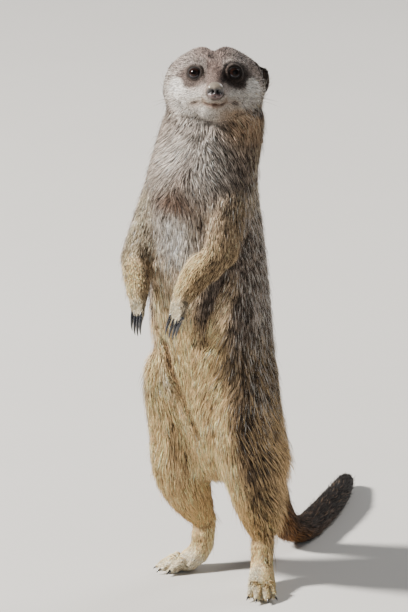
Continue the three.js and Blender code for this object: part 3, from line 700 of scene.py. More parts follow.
def markFace(paint, headness, tailness, crown):
    points, local = paint.points, toHead(paint.points)
    side = np.column_stack([np.abs(local[:, 0]), local[:, 1:]])
    across, height = side[:, 0], local[:, 2]
    onHead = smoothStep(0.3, 0.7, headness)
    paint.tint(onHead * smoothStep(5, 13, across) * fadingOut(-3, 3, height) * 0.3, "white", 0.14)
    bridge = fadingOut(3.4, 5.5, across) * smoothStep(-10, -6, height) * fadingOut(-20, -10, local[:, 1])
    paint.tint(onHead * bridge * 0.9, "brown", 0.25)
    paint.tint(onHead * (fadingOut(6, 13, across) * smoothStep(9, 14, height)) * 0.65, "rosy")  # forehead
    paint.tint(onHead * crown * 0.45, "rosy")
    # a dark line along the crease beside the bridge: partly the face's own marking, partly painted shade of the
    # crease
    crease = alongPath(side, np.array(faceMarks["crease"]))[0]
    paint.tint(onHead * bell(crease, 1.2) * 0.6, "umber", 0.3)
    # the left side of the face gets a wider, darker eye patch and darker rim: painted shade of the side away from
    # the light
    shadedLeftSide = smoothStep(-4, 4, local[:, 0])
    front = onHead * fadingOut(-8, -3, local[:, 1])
    wide, high = faceMarks["patchHalf"]
    patch = np.hypot((across - faceMarks["patch"][0]) / (wide + 0.6 * shadedLeftSide),
                     (height - faceMarks["patch"][1]) / (high + 0.5 * shadedLeftSide)) + noise(points, 3) * 0.06
    paint.tint(front * fadingOut(0.72, 1.14, patch) * 0.9, "brown", 0.35)
    paint.tint(front * fadingOut(0.62, 1.12, patch) * 0.82 * shadedLeftSide, "umber", 0.6)
    paint.tint(onHead * fadingOut(4.2, 6.8, np.linalg.norm(side - faceMarks["cheek"], axis=1)) * 0.9, "white", 0.03)
    # dusk temple on the left side only: painted shade
    paint.tint(front * bell(np.linalg.norm(local - faceMarks["temple"], axis=1), 4) * 0.6, "dusk", 0.5)
    ball = np.linalg.norm(side - faceMarks["eye"], axis=1)
    paint.tint(onHead * fadingOut(3.8, 5.0, ball) * (0.8 + 0.2 * shadedLeftSide), "umber", 0.6)
    paint.tint(onHead * fadingOut(3.3, 4.0, ball), "black", 0.5)
    # warm sienna under the jaw on the left side only: partly the fur's own tone, partly painted shade
    underJaw = smoothStep(-4, 11, local[:, 0] + noise(points, 4)) * fadingOut(-17.5, -12, height + noise(points, 3))
    underJaw = underJaw * (0.2 + 0.8 * smoothStep(-36, -22, height)) * smoothStep(-62, -30, height)
    paint.tint(underJaw * fadingOut(-2, 8, local[:, 1]) * (1 - tailness) * 0.85, "sienna", 0.2)
    upperLip = alongPath(local, np.array(faceMarks["upperLip"], float))[0]
    paint.tint(onHead * bell(upperLip, 2.6) * 0.75, "dun", 0.25)
    mouth = alongPath(points, fromHead(mouthLine))[0]
    paint.tint(onHead * bell(mouth, 2.0) * 0.75, "dun", 0.1)
    lips = bell(mouth, 1.2) * (1 - 0.5 * smoothStep(5, 9, across))
    paint.tint(onHead * lips * 0.95, "rust", 0.1)
    paint.tint(onHead * bell(mouth, 0.8) * (0.95 - 0.75 * smoothStep(5, 9, across)), "shade", 0.1)
    paint.tint(onHead * bell(np.linalg.norm(local - faceMarks["lip"], axis=1), 2.2) * 0.5, "rust")
    paint.tint(onHead * fadingOut(4.6, 6.0, np.linalg.norm(local - faceMarks["nose"], axis=1)) * 0.6, "dusk", 0.3)


# The colour and the share of dark hairs at each point: the parts' own below and above, then the marks.
def markings(points, facing, weights):
    headness, tailness = shareOf(weights, *headParts), shareOf(weights, *tailParts[1:])
    outwardly = np.sign(points[:, 0]) * facing[:, 0]
    dorsal = smoothStep(-0.42, 0.1, facing[:, 1] * 0.8 + outwardly * 0.6 + noise(points, 9) * 0.12)
    crown = smoothStep(-0.1, 0.5, (facing @ headAxes)[:, 2] + noise(points, 5) * 0.15)
    upper = smoothStep(-0.35, 0.4, facing[:, 2] + noise(points, 6) * 0.15)
    dorsal = dorsal * (1 - headness) + crown * headness
    dorsal = dorsal * (1 - tailness) + upper * tailness
    shade = blended(ofParts(weights, "colour", 0), ofParts(weights, "colour", 1), dorsal)
    dark = ofParts(weights, "dark", 0) * (1 - dorsal) + ofParts(weights, "dark", 1) * dorsal
    paint = Paint(points, shade, dark)
    trunk = 1 - smoothStep(0.15, 0.5, headness + shareOf(weights, *tailParts))
    markBody(paint, facing, trunk, shareOf(weights, "upperArmLeft"))
    markFace(paint, headness, tailness, crown)
    shade = paint.shade * (1 + noise(points, 6) * 0.1 + noise(points, 2.2) * 0.06)[:, None]
    return np.clip(shade, 0.005, 0.9), np.clip(paint.dark, 0, 0.9)


whorls = [  # centre, reach and strength of the places where the hair parts
    dict(at=[-2.9, -42.2, 231], reach=10, strength=1.2),
    dict(at=[7.8, -29.2, 260], reach=7, strength=0.9),
]


def lieOfHair(points, normals, weights, headings):
    flow = np.einsum("np,npk->nk", weights, headings)
    local = toHead(points)
    fromNose = unit(local - [0, -37, -6.5]) @ headAxes.T
    headness = shareOf(weights, *headParts)[:, None]
    headFlow = fromNose + np.array([0, 0, -0.35]) * smoothStep(2, 14, np.abs(local[:, 0]))[:, None]
    flow = flow * (1 - headness) + headFlow * headness
    for sign in bothSides.values():
        away = points - fromHead(eyeCentre(sign))
        distance = np.linalg.norm(away, axis=1)
        flow = flow + unit(away) * (1.6 * bell(np.maximum(distance - 4.5, 0), 3.0))[:, None]
    for whorl in whorls:
        away = points - whorl["at"]
        distance = np.linalg.norm(away, axis=1)
        flow = flow + unit(away) * (whorl["strength"] * bell(distance, whorl["reach"]))[:, None]
    flow[:, 2] -= shareOf(weights, "forearmLeft", "forearmRight") * 0.55
    flow[:, 0] += np.tanh((points[:, 0] - 5) / 8) * 0.75 * smoothStep(232, 250, points[:, 2]) * (1 - headness[:, 0])
    height, outwardly = points[:, 2], np.sign(points[:, 0]) * normals[:, 0]
    # belly hair leans towards the middle, leg hair sweeps to the rear
    belly = smoothStep(95, 120, height) * (1 - smoothStep(170, 195, height)) * smoothStep(0.2, 0.7, -normals[:, 1])
    flow[:, 0] -= np.tanh(points[:, 0] / 8) * 0.45 * belly
    legs = smoothStep(30, 45, height) * (1 - smoothStep(85, 120, height))
    legs = legs * smoothStep(-0.3, 0.6, normals[:, 1] + outwardly)
    flow[:, 1] += 0.4 * legs
    wander = np.stack([noise(points + shift, 9) for shift in (0.0, 37.0, 71.0)], 1)
    finer = np.stack([noise(points + shift, 3.2) for shift in (11.0, 53.0, 97.0)], 1)
    long = smoothStep(3.5, 8, ofParts(weights, "length"))[:, None]
    flow = unit(flow) + wander * (0.1 + 0.14 * long) + finer * (0.03 + 0.13 * long)
    return unit(flow - normals * (flow * normals).sum(1, keepdims=True))


# The coat: spindle-shaped tufts that lie over the skin.
coat = {
    "layers": 3.1, "most": 29000,                      # tufts over each place, and at most in one piece
    "clump": 3.0, "gather": 0.45,                      # size of the locks and how far long tips lean together
    "share": 0.42, "ridge": 0.8, "rise": [1.3, 0.6],   # where a tuft is widest, its height there, its two slopes
    "sink": [0.35, 0.3], "floor": 0.12, "patch": 0.0015,
    "length": [0.7, 1.2], "width": [0.7, 1.3], "lift": [0.6, 1.35], "sway": 0.13,
    "stray": 0.05, "strayShape": [1.25, 0.6, 1.9],     # share of stray tufts; their length, width and lift
    "markRounds": 12, "leanRounds": 8,                 # how far the skin's lumps are evened out under the coat
}
coatPieces = {  # the parts of the body each piece of the coat covers, how many shares it is in, its slot
    "coat_face": (["muzzle"], 1, "pale_coat"),
    "coat_head": (["skull", "earLeft", "earRight"], 2, "head_coat"),
    "coat_neck": (["neck"], 1, "pale_coat"),
    "coat_chest": (["chest"], 1, "coat"),
    "coat_belly": (["belly"], 1, "coat"),
    "coat_hips": (["hips"], 1, "coat"),
    "coat_arms": (["upperArmLeft", "upperArmRight", "forearmLeft", "forearmRight", "handLeft", "handRight"], 1,
                  "pale_coat"),
    "coat_thighs": (["thighLeft", "thighRight"], 1, "coat"),
    "coat_shanks": (["shankLeft", "shankRight"], 1, "coat"),
    "coat_feet": (["hockLeft", "hockRight", "toesLeft", "toesRight"], 1, "pale_coat"),
    "coat_tail": (tailParts, 1, "dark_coat"),
}


def gathered(roots, tips, length):  # long tips within a cell lean together towards their common place
    cells = np.floor((roots + noise(roots, 5)[:, None] * 2) / coat["clump"]).astype(np.int64)
    key = cells[:, 0] * 1000003 + cells[:, 1] * 10007 + cells[:, 2]
    _, group, count = np.unique(key, return_inverse=True, return_counts=True)
    group = group.ravel()
    mean = np.stack([np.bincount(group, tips[:, k]) / count for k in range(3)], 1)
    return tips + (mean[group] - tips) * (coat["gather"] * smoothStep(3.5, 8, length))[:, None]


# An unwrap of the skin: each part is a strip, with the turn about its axis across and the way along it up.
def unwrapped(roots, owners, names):
    place = np.zeros((len(roots), 2))
    for tile, name in enumerate(names):
        mine = owners == partNames.index(name)
        path = bodyParts[name]["path"]
        axis = unit(path[-1] - path[0])
        side = unit(np.cross(axis, [0.3, 1, 0.2]))
        away = roots[mine] - path[0]
        turn = np.arctan2(away @ np.cross(axis, side), away @ side) / (2 * math.pi) + 0.5
        along = away @ axis
        if len(along):
            along = (along - along.min()) / max(np.ptp(along), 1e-6)
        place[mine] = np.stack([(tile + 0.02 + 0.96 * turn) / len(names), 0.02 + 0.96 * along], 1)
    return place


# A tuft: a root point, a three-cornered ring part of the way along, and a tip, bent over at the ring.
def tuftMesh(name, roots, normals, flow, length, width, lift, tones, place, material):
    count = len(roots)
    side = np.cross(normals, flow)
    rise = [np.radians(lift * steeper)[:, None] for steeper in coat["rise"]]
    share, (deepest, sink) = coat["share"], coat["sink"]
    start = roots - normals * np.minimum(deepest, length * np.sin(np.radians(lift)) * sink)[:, None]
    middle = start + (flow * np.cos(rise[0]) + normals * np.sin(rise[0])) * (length * share)[:, None]
    tips = middle + (flow * np.cos(rise[1]) + normals * np.sin(rise[1])) * (length * (1 - share))[:, None]
    tips = gathered(roots, tips, length)
    half = (width / 2)[:, None]
    ridge = middle + normals * half * coat["ridge"]
    points = np.stack([start, middle + side * half, ridge, middle - side * half, tips], 1)
    points[:, :, 2] = np.maximum(points[:, :, 2], coat["floor"])
    pattern = np.array([[0, 2, 1], [0, 3, 2], [0, 1, 3], [4, 1, 2], [4, 2, 3], [4, 3, 1]])
    faces = (np.arange(count)[:, None, None] * 5 + pattern).reshape(-1, 3)
    mesh = bpy.data.meshes.new(name)
    mesh.vertices.add(count * 5)
    mesh.loops.add(len(faces) * 3)
    mesh.polygons.add(len(faces))
    mesh.vertices.foreach_set("co", inScene(points.reshape(-1, 3)).astype(np.float32).ravel())
    mesh.loops.foreach_set("vertex_index", faces.astype(np.int32).ravel())
    mesh.polygons.foreach_set("loop_start", np.arange(0, len(faces) * 3, 3, dtype=np.int32))
    mesh.materials.append(material)
    patch = np.array([[-1, 0], [0, 1], [0.2, 0], [0, -1], [1, 0]]) * coat["patch"]
    onMap = (place[:, None, :] + patch).reshape(-1, 2)[faces.ravel()]
    mesh.uv_layers.new(name="OFBake").data.foreach_set("uv", onMap.astype(np.float32).ravel())
    smoothed(mesh)
    mesh.validate()
    piece = placed(name, mesh)
    withColours(piece, tones.reshape(-1, 3))
    return piece


shortSpots = [  # where the coat is shorter: at the throat's parting, under the left arm, along the groin
    (throatLine, 3.0),
    (forearmShadowPit["path"], forearmShadowPit["reach"]),
    ([[-21, -26, 146], [-13.7, -28, 126.6], [-5.9, -26.5, 111.4], [1.2, -25, 94.6]], 5.0),
]


def evened(values, average, rounds):
    for _ in range(rounds):
        values = average(values)
    return unit(values)


# The hair's length at each point: the parts' own, shorter towards the nose, round the eyes, at the ankles
# and at the short spots.
def hairLengths(points, weights):
    fromNose = np.linalg.norm(toHead(points) - faceMarks["nose"], axis=1)
    onHead = smoothStep(0.3, 0.8, shareOf(weights, *headParts))
    grown = 0.35 + 0.65 * smoothStep(8, 46, fromNose)
    length = ofParts(weights, "length") * (1 - onHead + onHead * grown)
    for sign in bothSides.values():
        distance = np.linalg.norm(points - fromHead(eyeCentre(sign)), axis=1)
        length = length * (1 - 0.5 * bell(np.maximum(distance - 5, 0), 3))
    legs, height = 1 - shareOf(weights, *tailParts), points[:, 2]
    length = length * (1 - legs * 0.42 * (1 - smoothStep(30, 64, height)) * smoothStep(16, 26, height))
    for path, reach in shortSpots:
        length = length * (1 - 0.45 * bell(alongPath(points, np.array(path, float))[0], reach))
    return length


# What the hairs read at each point of the skin, in columns: place, facing, lie, colour (three of each), share
# of dark hairs, length, width and lift. Low down the parts run into one another more softly.
def skinFields(skin, average):
    mesh = skin.data
    points, normals = readPoints(mesh), readNormals(mesh)
    weights, headings = partWeights(points)
    softWeights = partWeights(points, 6.0)[0]
    weights = blended(weights, softWeights, 1 - smoothStep(36, 52, points[:, 2]))
    upright = evened(normals, average, coat["leanRounds"])
    shade, dark = markings(points, evened(normals, average, coat["markRounds"]), softWeights)
    # the skin takes the coat's colour at 0.4 of its brightness: painted shade in the gaps between the hairs
    withColours(skin, shade * 0.4)
    flow = lieOfHair(points, upright, weights, headings)
    looks = [hairLengths(points, weights), ofParts(weights, "width"), ofParts(weights, "lift")]
    return mesh, np.column_stack([points, upright, flow, shade, dark] + looks), weights.argmax(1)


def bareSpots(roots):  # where no tuft grows: on the eyes, the nose and inside the mouth
    local = toHead(roots)
    clear = np.linalg.norm((local - noseShape["at"]) / noseShape["half"], axis=1) < 1.05
    for sign in bothSides.values():
        away = local - eyeCentre(sign)
        clear |= (np.linalg.norm(away, axis=1) < 6.2) & (unit(away) @ gazeOf(sign) > 0.72)
    mouth = alongPath(roots, fromHead(mouthLine))[0]
    return clear | ((mouth < 0.85 + 0.35 * smoothStep(4, 7, np.abs(local[:, 0]))) & (local[:, 1] < -19))


# Longer hairs that stand out from the coat: where, how far from the path, how many, length, lift and tone.
guardHairs = [
    dict(path=[[38, 2, 100], [36, 14, 70], [31, 20, 46]], reach=16, number=2300, length=16, lift=17, tone="straw"),
    dict(path=[[33, 22, 130], [37, 20, 100]], reach=13, number=500, length=13, lift=18, tone="cream"),
    dict(path=[[34, 12, 76], [30, 20, 54]], reach=9, number=500, length=20, lift=22, tone="straw"),
    dict(path=[[-36, -14, 232], [-52, -22, 196], [-50, -30, 184], [-34, -52, 176]], reach=9, number=340,
         length=9, lift=24, tone="white"),
    dict(path=[[-29, -6, 266], [-34, -12, 236]], reach=11, number=520, length=9, lift=26, tone="white"),
    dict(path=[[27, 4, 270], [31, -4, 236]], reach=11, number=520, length=9, lift=26, tone="cream"),
    dict(path=[[-38, -17, 150], [-40, -12, 118], [-39, -8, 100]], reach=10, number=1100,
         length=12, lift=26, tone="straw"),
    dict(path=[[0, 26, 225], [0, 30, 160], [0, 33, 110]], reach=24, number=1700,
         length=11.5, lift=20, tone="cream"),
    dict(path=[[27, 0, 232], [29, 2, 215], [33, 4, 150], [34, 0, 110]], reach=17, number=4200,
         length=9.5, lift=18, tone="white"),
    dict(path=[[-30, 4, 215], [-38, 4, 150]], reach=14, number=700, length=10.5, lift=22, tone="cream"),
    dict(path=[[-24, 20, 60], [-24, 18, 40]], reach=12, number=380, length=13, lift=17, tone="gold"),
    dict(path=[[-30, -24, 76], [-26, -16, 46]], reach=9, number=320, length=10, lift=15, tone="gold"),
    dict(path=[[0, 40, 80], [1, 66, 15], [2, 90, 10], [-13, 140, 8]], reach=12, number=700,
         length=8.5, lift=17, tone="dun"),
    dict(path=[[-15.4, -22.9, 289], [-11.8, -26.2, 281], [-7.8, -26.6, 273]], reach=6, number=420,
         length=5, lift=25, tone="white"),
    dict(path=[[20.3, 4.5, 282], [22.3, -1.7, 276.5], [21.7, -4.3, 270.7]], reach=6, number=420,
         length=5, lift=25, tone="white"),
]


class Sampler:  # spreads places evenly over the skin by a wanted number for each triangle
    def __init__(self, mesh, fields):
        self.corners, self.fields = readTriangles(mesh), fields
        first, second, third = (fields[self.corners[:, k], :3] for k in range(3))
        self.area = np.linalg.norm(np.cross(second - first, third - first), axis=1) / 2

    def spread(self, wanted, count):
        sums = np.cumsum(wanted)
        picks = (np.arange(count) + chance.random(count)) / count * sums[-1]
        triangle = np.minimum(np.searchsorted(sums, picks), len(wanted) - 1)
        first, second = chance.random((2, count))
        over = first + second > 1
        first[over], second[over] = 1 - first[over], 1 - second[over]
        shares = np.stack([1 - first - second, first, second], 1)
        here = (self.fields[self.corners[triangle]] * shares[:, :, None]).sum(1)
        keep = ~bareSpots(here[:, :3])
        return here[keep], triangle[keep]


# The tones of a tuft's root, body and tip: a pale hair, or a dark one whose tip is often pale.
hairTone = {"patchy": [0.6, 0.5], "paleTips": 0.4, "darkTips": 0.4, "vivid": [-0.05, 0.36], "least": 0.35,
            "most": 2.2, "bright": 1.3, "root": 0.22}


def hairTones(shade, dark, roots, even):
    count = len(roots)
    fine, broad = hairTone["patchy"]
    patchy = (noise(roots, 1.5) * fine + noise(roots + 31, 3.5) * broad) * even
    isDark = (chance.random(count) < dark * (1 - patchy))[:, None]
    paleTip = (chance.random(count) < hairTone["paleTips"])[:, None]
    darkTip = (chance.random(count) < dark * hairTone["darkTips"])[:, None]
    vivid = np.exp(chance.normal(*hairTone["vivid"], count) + patchy * 0.35 + noise(roots + 50, 8) * 0.12)
    vivid = np.clip(vivid, hairTone["least"], hairTone["most"])
    pale = np.minimum(shade * vivid[:, None], 0.85)
    deep = (shade * 0.06 + furColours["shade"] * 0.75) * chance.uniform(0.6, 1.5, count)[:, None]
    body = np.where(isDark, deep, pale)
    bright = np.minimum(pale * hairTone["bright"] + 0.02, 0.9)
    tip = np.where(isDark, np.where(paleTip, bright, deep), np.where(darkTip, deep, bright))
    # the root is darker: partly the hair's own dark base, partly painted shade deep in the coat
    root = np.where(isDark, deep * 0.8, shade * hairTone["root"])
    return np.stack([root, body, body, body, tip], 1)


def growPiece(name, sampler, owners, parts, wanted, count, material):
    here, triangle = sampler.spread(wanted, count)
    count = len(here)
    roots, normals, flow = here[:, :3], unit(here[:, 3:6]), unit(here[:, 6:9])
    shade, dark, length, width, lift = here[:, 9:12], here[:, 12], here[:, 13], here[:, 14], here[:, 15]
    stray = chance.random(count) < coat["stray"]
    longer, thinner, steeper = (np.where(stray, factor, 1) for factor in coat["strayShape"])
    length = length * chance.uniform(*coat["length"], count) * longer
    width = width * chance.uniform(*coat["width"], count) * thinner
    lift = lift * chance.uniform(*coat["lift"], count) * steeper
    flow = unit(flow + np.cross(normals, flow) * chance.normal(0, coat["sway"], count)[:, None])
    tones = hairTones(shade, dark, roots, 0.3 + 0.7 * smoothStep(5, 9, length))
    place = unwrapped(roots, owners[sampler.corners[triangle, 0]], parts)
    return tuftMesh(name, roots, normals, flow, length, width, lift, tones, place, material)


def growCoat(skin, average, material):
    mesh, fields, owners = skinFields(skin, average)
    sampler = Sampler(mesh, fields)
    crowd = coat["layers"] * 2 / (fields[:, 13] * fields[:, 14])
    wanted = sampler.area * crowd[sampler.corners].mean(1)
    owner = owners[sampler.corners[:, 0]]
    total = 0
    for name, (parts, shares, slot) in coatPieces.items():
        chosen = np.isin(owner, [partNames.index(part) for part in parts])
        mine = np.where(chosen, wanted, 0)
        count = int(min(mine.sum() / shares, coat["most"]))
        for share in range(shares):
            label = name if shares == 1 else f"{name}_{share + 1}"
            finished(growPiece(label, sampler, owners, parts, mine, count, material), slot)
            total += count
        print(name, shares, "x", count, "tufts of", round(mine.sum()), "wanted")
    print("coat:", total * 6, "triangles")
    finished(growGuardHairs(sampler, owners, material), "coat")


guardHair = {"length": [0.55, 1.15], "lift": [0.5, 1.3], "tone": [0.8, 1.1], "deep": [0.9, 1.6], "light": 0.7,
             "sway": 0.12, "width": [0.2, 0.34]}


def growGuardHairs(sampler, owners, material):
    gathering = []
    middles = sampler.fields[sampler.corners, :3].mean(1)
    for group in guardHairs:
        distance = alongPath(middles, np.array(group["path"], float))[0]
        here, triangle = sampler.spread(sampler.area * bell(distance, group["reach"]), group["number"])
        count = len(here)
        length = group["length"] * chance.uniform(*guardHair["length"], count)
        lift = group["lift"] * chance.uniform(*guardHair["lift"], count)
        tone = furColours[group["tone"]] * chance.uniform(*guardHair["tone"], count)[:, None]
        deep = furColours["dusk"] * chance.uniform(*guardHair["deep"], count)[:, None]
        light = (chance.random(count) < guardHair["light"])[:, None]
        tip = np.where(light, tone * 1.1, tone * 0.8)
        # every guard hair's root is dark: partly its own dark base, partly painted shade deep in the coat
        tones = np.stack([deep] + [np.where(light, tone, deep)] * 3 + [tip], 1)
        gathering.append((here, triangle, length, lift, tones))
    here, triangle, length, lift, tones = (np.concatenate(column) for column in zip(*gathering))
    normals, flow = unit(here[:, 3:6]), unit(here[:, 6:9])
    flow = unit(flow + np.cross(normals, flow) * chance.normal(0, guardHair["sway"], len(here))[:, None])
    place = unwrapped(here[:, :3], owners[sampler.corners[triangle, 0]], partNames)
    width = chance.uniform(*guardHair["width"], len(here))
    return tuftMesh("coat_guard_hairs", here[:, :3], normals, flow, length, width, lift, tones, place, material)


def eyeAxes(sign):  # the eye's own directions in the head: out along the gaze, to its side, and up
    gaze = gazeOf(sign)
    side = unit(np.cross([0, 0, 1], gaze))
    return gaze, side, np.cross(gaze, side)


def turned(away, around):  # directions by their angle from an axis and their turn about it, the axis first
    across, up = np.sin(away) * np.cos(around), np.sin(away) * np.sin(around)
    return np.stack(np.broadcast_arrays(np.cos(away), across, up), -1)


def headPoint(sign, directions, radius):
    gaze, side, up = eyeAxes(sign)
    local = eyeCentre(sign)
    local = local + (directions[..., :1] * gaze + directions[..., 1:2] * side + directions[..., 2:] * up) * radius
    return fromHead(local.reshape(-1, 3))


eyeColours = {"pupil": linear(8, 6, 6), "irisDark": linear(20, 12, 10), "irisLight": linear(44, 25, 17),
              "white": linear(14, 9, 8), "paintedReflection": linear(150, 158, 172)}
eyeRings = {"pupil": [0.26, 0.34], "iris": [0.58, 0.7], "paintedReflection": 0.62}  # angles from the gaze, in radians


def eyeTones(away, around):  # pupil, streaked iris and dark white by the angle from the gaze, a pale painted reflection below
    rows, columns = len(away), len(around)
    angle = np.repeat(away, columns)
    streaks = noise(np.stack([np.cos(around) * 9, np.sin(around) * 9, np.zeros(columns)], 1), 1.1)
    iris = blended(eyeColours["irisDark"], eyeColours["irisLight"], 0.5 + np.tile(streaks, rows) * 0.5)
    wide = np.tile(np.hypot(np.cos(around) * 0.8, np.sin(around)), rows)  # the pupil is a lying oval
    shade = blended(eyeColours["pupil"], iris, smoothStep(*eyeRings["pupil"], angle * wide))
    shade = blended(shade, eyeColours["white"], smoothStep(*eyeRings["iris"], angle))
    # a pale bluish crescent low on the eye: painted reflection
    below = np.tile(smoothStep(0.3, 0.8, -np.sin(around)), rows)
    return blended(shade, eyeColours["paintedReflection"], below * bell(angle - eyeRings["paintedReflection"], 0.04) * 0.5)


# A ball whose front swells: its radius grows by a bell of the angle from the gaze.
def makeEye(sideName, material):
    rows, columns = 40, 48
    away = np.linspace(0.004, math.pi - 0.004, rows)[:, None]
    around = np.arange(columns)[None, :] / columns * 2 * math.pi
    directions = turned(away, around)
    radius = eyeShape["radius"] + eyeShape["cornea"] * bell(away, eyeShape["corneaReach"])[..., None]
    points = headPoint(bothSides[sideName], directions, radius * np.ones((rows, columns, 1)))
    piece = meshFrom(f"eyeball_{sideName}", points, cappedFaces(rows, columns), material)
    withColours(piece, eyeTones(away.ravel(), around.ravel()))
    outward(piece)
    return finished(piece, "eye", f"eye_{sideName}")


lidShape = {"above": 0.78, "below": 0.9, "innerCorner": 10, "width": 0.85, "thickness": 0.3, "heavier": 0.35}


# A rim round the eye: a flat oval carried along the edge of the opening, which is an oval on the ball.
def makeLids(sideName, material):
    sign = bothSides[sideName]
    rows, columns = 72, 18
    around = np.arange(rows)[:, None] / rows * 2 * math.pi
    across = np.arange(columns)[None, :] / columns * 2 * math.pi
    nasal = np.maximum(-sign * np.cos(around), 0) ** 6 * lidShape["innerCorner"]
    height = np.where(np.sin(around) > 0, lidShape["above"], lidShape["below"])
    squash = 1 / np.sqrt(np.cos(around) ** 2 + (np.sin(around) / height) ** 2)
    opening = np.radians(eyeShape["opening"] * squash + nasal)
    reach = lidShape["width"] / eyeShape["radius"]
    angle = opening + reach * (0.5 + 0.5 * np.cos(across + math.pi))
    over = 1.0 + lidShape["heavier"] * np.maximum(np.sin(around), 0)
    lift = lidShape["thickness"] * over * (0.5 + 0.5 * np.sin(across)) * (1 - 0.25 * np.cos(across))
    radius = (eyeShape["radius"] + 0.02 + lift)[..., None]
    points = headPoint(sign, turned(angle, around), radius)
    piece = meshFrom(f"eyelids_{sideName}", points, gridFaces(rows, columns, True).tolist(), material)
    outward(piece)
    return finished(piece, "dark_coat")


noseShape = {"at": [0.2, -37.4, -6.2], "half": [4.6, 3.8, 4.9]}
noseColours = {"pad": linear(44, 30, 30), "top": linear(146, 134, 118), "lower": linear(104, 70, 66),
               "nostril": linear(16, 8, 8)}
noseForms = [  # direction of each hollow or swelling, its reach and its push
    ([0.44, -0.87, -0.15], 0.3, -0.7), ([-0.44, -0.87, -0.15], 0.3, -0.7),
    ([0.82, -0.5, -0.25], 0.2, -0.35), ([-0.82, -0.5, -0.25], 0.2, -0.35),
    ([0.7, -0.62, 0.3], 0.34, 0.1), ([-0.7, -0.62, 0.3], 0.34, 0.1),
    ([0.45, -0.68, -0.6], 0.26, 0.1), ([-0.45, -0.68, -0.6], 0.26, 0.1),
    ([0, -0.92, -0.4], 0.11, -0.16), ([0, -0.72, -0.72], 0.13, -0.2), ([0, -0.45, 0.9], 0.5, -0.05),
]


# A ball stretched to the nose's half widths and pushed in or out by a bell round each form's direction.
def makeNose(material):
    rows, columns = 56, 72
    away = np.linspace(0.01, math.pi - 0.01, rows)[:, None]
    around = np.arange(columns)[None, :] / columns * 2 * math.pi
    directions = np.roll(turned(away, around), -1, axis=-1)
    swell = np.ones(directions.shape[:2])
    for heading, reach, push in noseForms:
        apart = np.linalg.norm(directions - unit(np.array(heading, float)), axis=-1)
        swell += push * bell(apart, reach)
    local = np.array(noseShape["at"]) + directions * swell[..., None] * noseShape["half"]
    piece = meshFrom("nose_pad", fromHead(local.reshape(-1, 3)), cappedFaces(rows, columns), material)
    # black where the nostril hollows go deepest: painted shade inside the nostrils
    deep = np.clip((1 - swell.ravel() - 0.04) / 0.2, 0, 1)
    facing = directions.reshape(-1, 3)
    shade = blended(noseColours["pad"], noseColours["top"], smoothStep(0.05, 0.4, facing[:, 2]))
    lower = fadingOut(-0.5, -0.3, facing[:, 2]) * smoothStep(0.1, 0.3, -facing[:, 1])
    shade = blended(shade, noseColours["lower"], lower * 0.6)
    withColours(piece, blended(shade, noseColours["nostril"], deep))
    outward(piece)
    return finished(piece, "nose_skin", "nose")


clawShape = {"rings": 16, "sides": 14, "hand": [1.15, 1.6], "toe": [1.0, 1.2]}


# A claw: an oval section carried along a curve through its root, middle and point, thinner by
# (1 - t) to the power 0.7, where t is the way along.
def makeClaws(group, material):
    rings, sides = clawShape["rings"], clawShape["sides"]
    half = clawShape[group.split("_")[0]]
    turns = np.arange(sides) / sides * 2 * math.pi
    points, faces = [], []
    names = [name for name in sorted(nodes) if name.startswith(group)]
    for name in names:
        root, middle, end = clawLine(name, group)
        root = root + (root - middle) * 0.25
        bend = 2 * middle - (root + end) / 2
        t = np.linspace(0, 1, rings)[:, None]
        line = root * (1 - t) ** 2 + bend * 2 * t * (1 - t) + end * t ** 2
        heading = unit(np.gradient(line, axis=0))
        up = unit(bend - (root + end) / 2)
        side = unit(np.cross(heading, up))
        size = np.maximum(1 - t, 0.004) ** 0.7
        ring = side[:, None] * (np.cos(turns)[None, :, None] * half[0])
        ring = ring + np.cross(side, heading)[:, None] * (np.sin(turns)[None, :, None] * half[1])
        made = (line[:, None] + ring * size[:, :, None]).reshape(-1, 3)
        faces += [[corner + len(points) * len(made) for corner in face] for face in cappedFaces(rings, sides)]
        points.append(made)
    piece = meshFrom(group.replace("_claw_", "_claws_"), np.concatenate(points), faces, material)
    outward(piece)
    return finished(piece, "claw", *names)


# Whiskers: thin threads that droop by the square of the way along.
whiskers = {"rings": 7, "half": 0.13, "droop": 0.16}
whiskerSets = [  # where they start in the head, their spread, direction, length and number on each side
    dict(at=[5.6, -31.5, -10.5], spread=[1.2, 2.2, 1.3], heading=[0.9, 0.22, -0.02], fan=0.3, length=[12, 24],
         number=11),
    dict(at=[8.5, -17.5, 9.8], spread=[1.6, 0.6, 0.5], heading=[0.35, -0.2, 1.0], fan=0.3, length=[8, 13],
         number=4),
    dict(at=[19, -13, -8.5], spread=[1, 1, 1], heading=[1.0, -0.1, -0.05], fan=0.25, length=[12, 20], number=4),
]


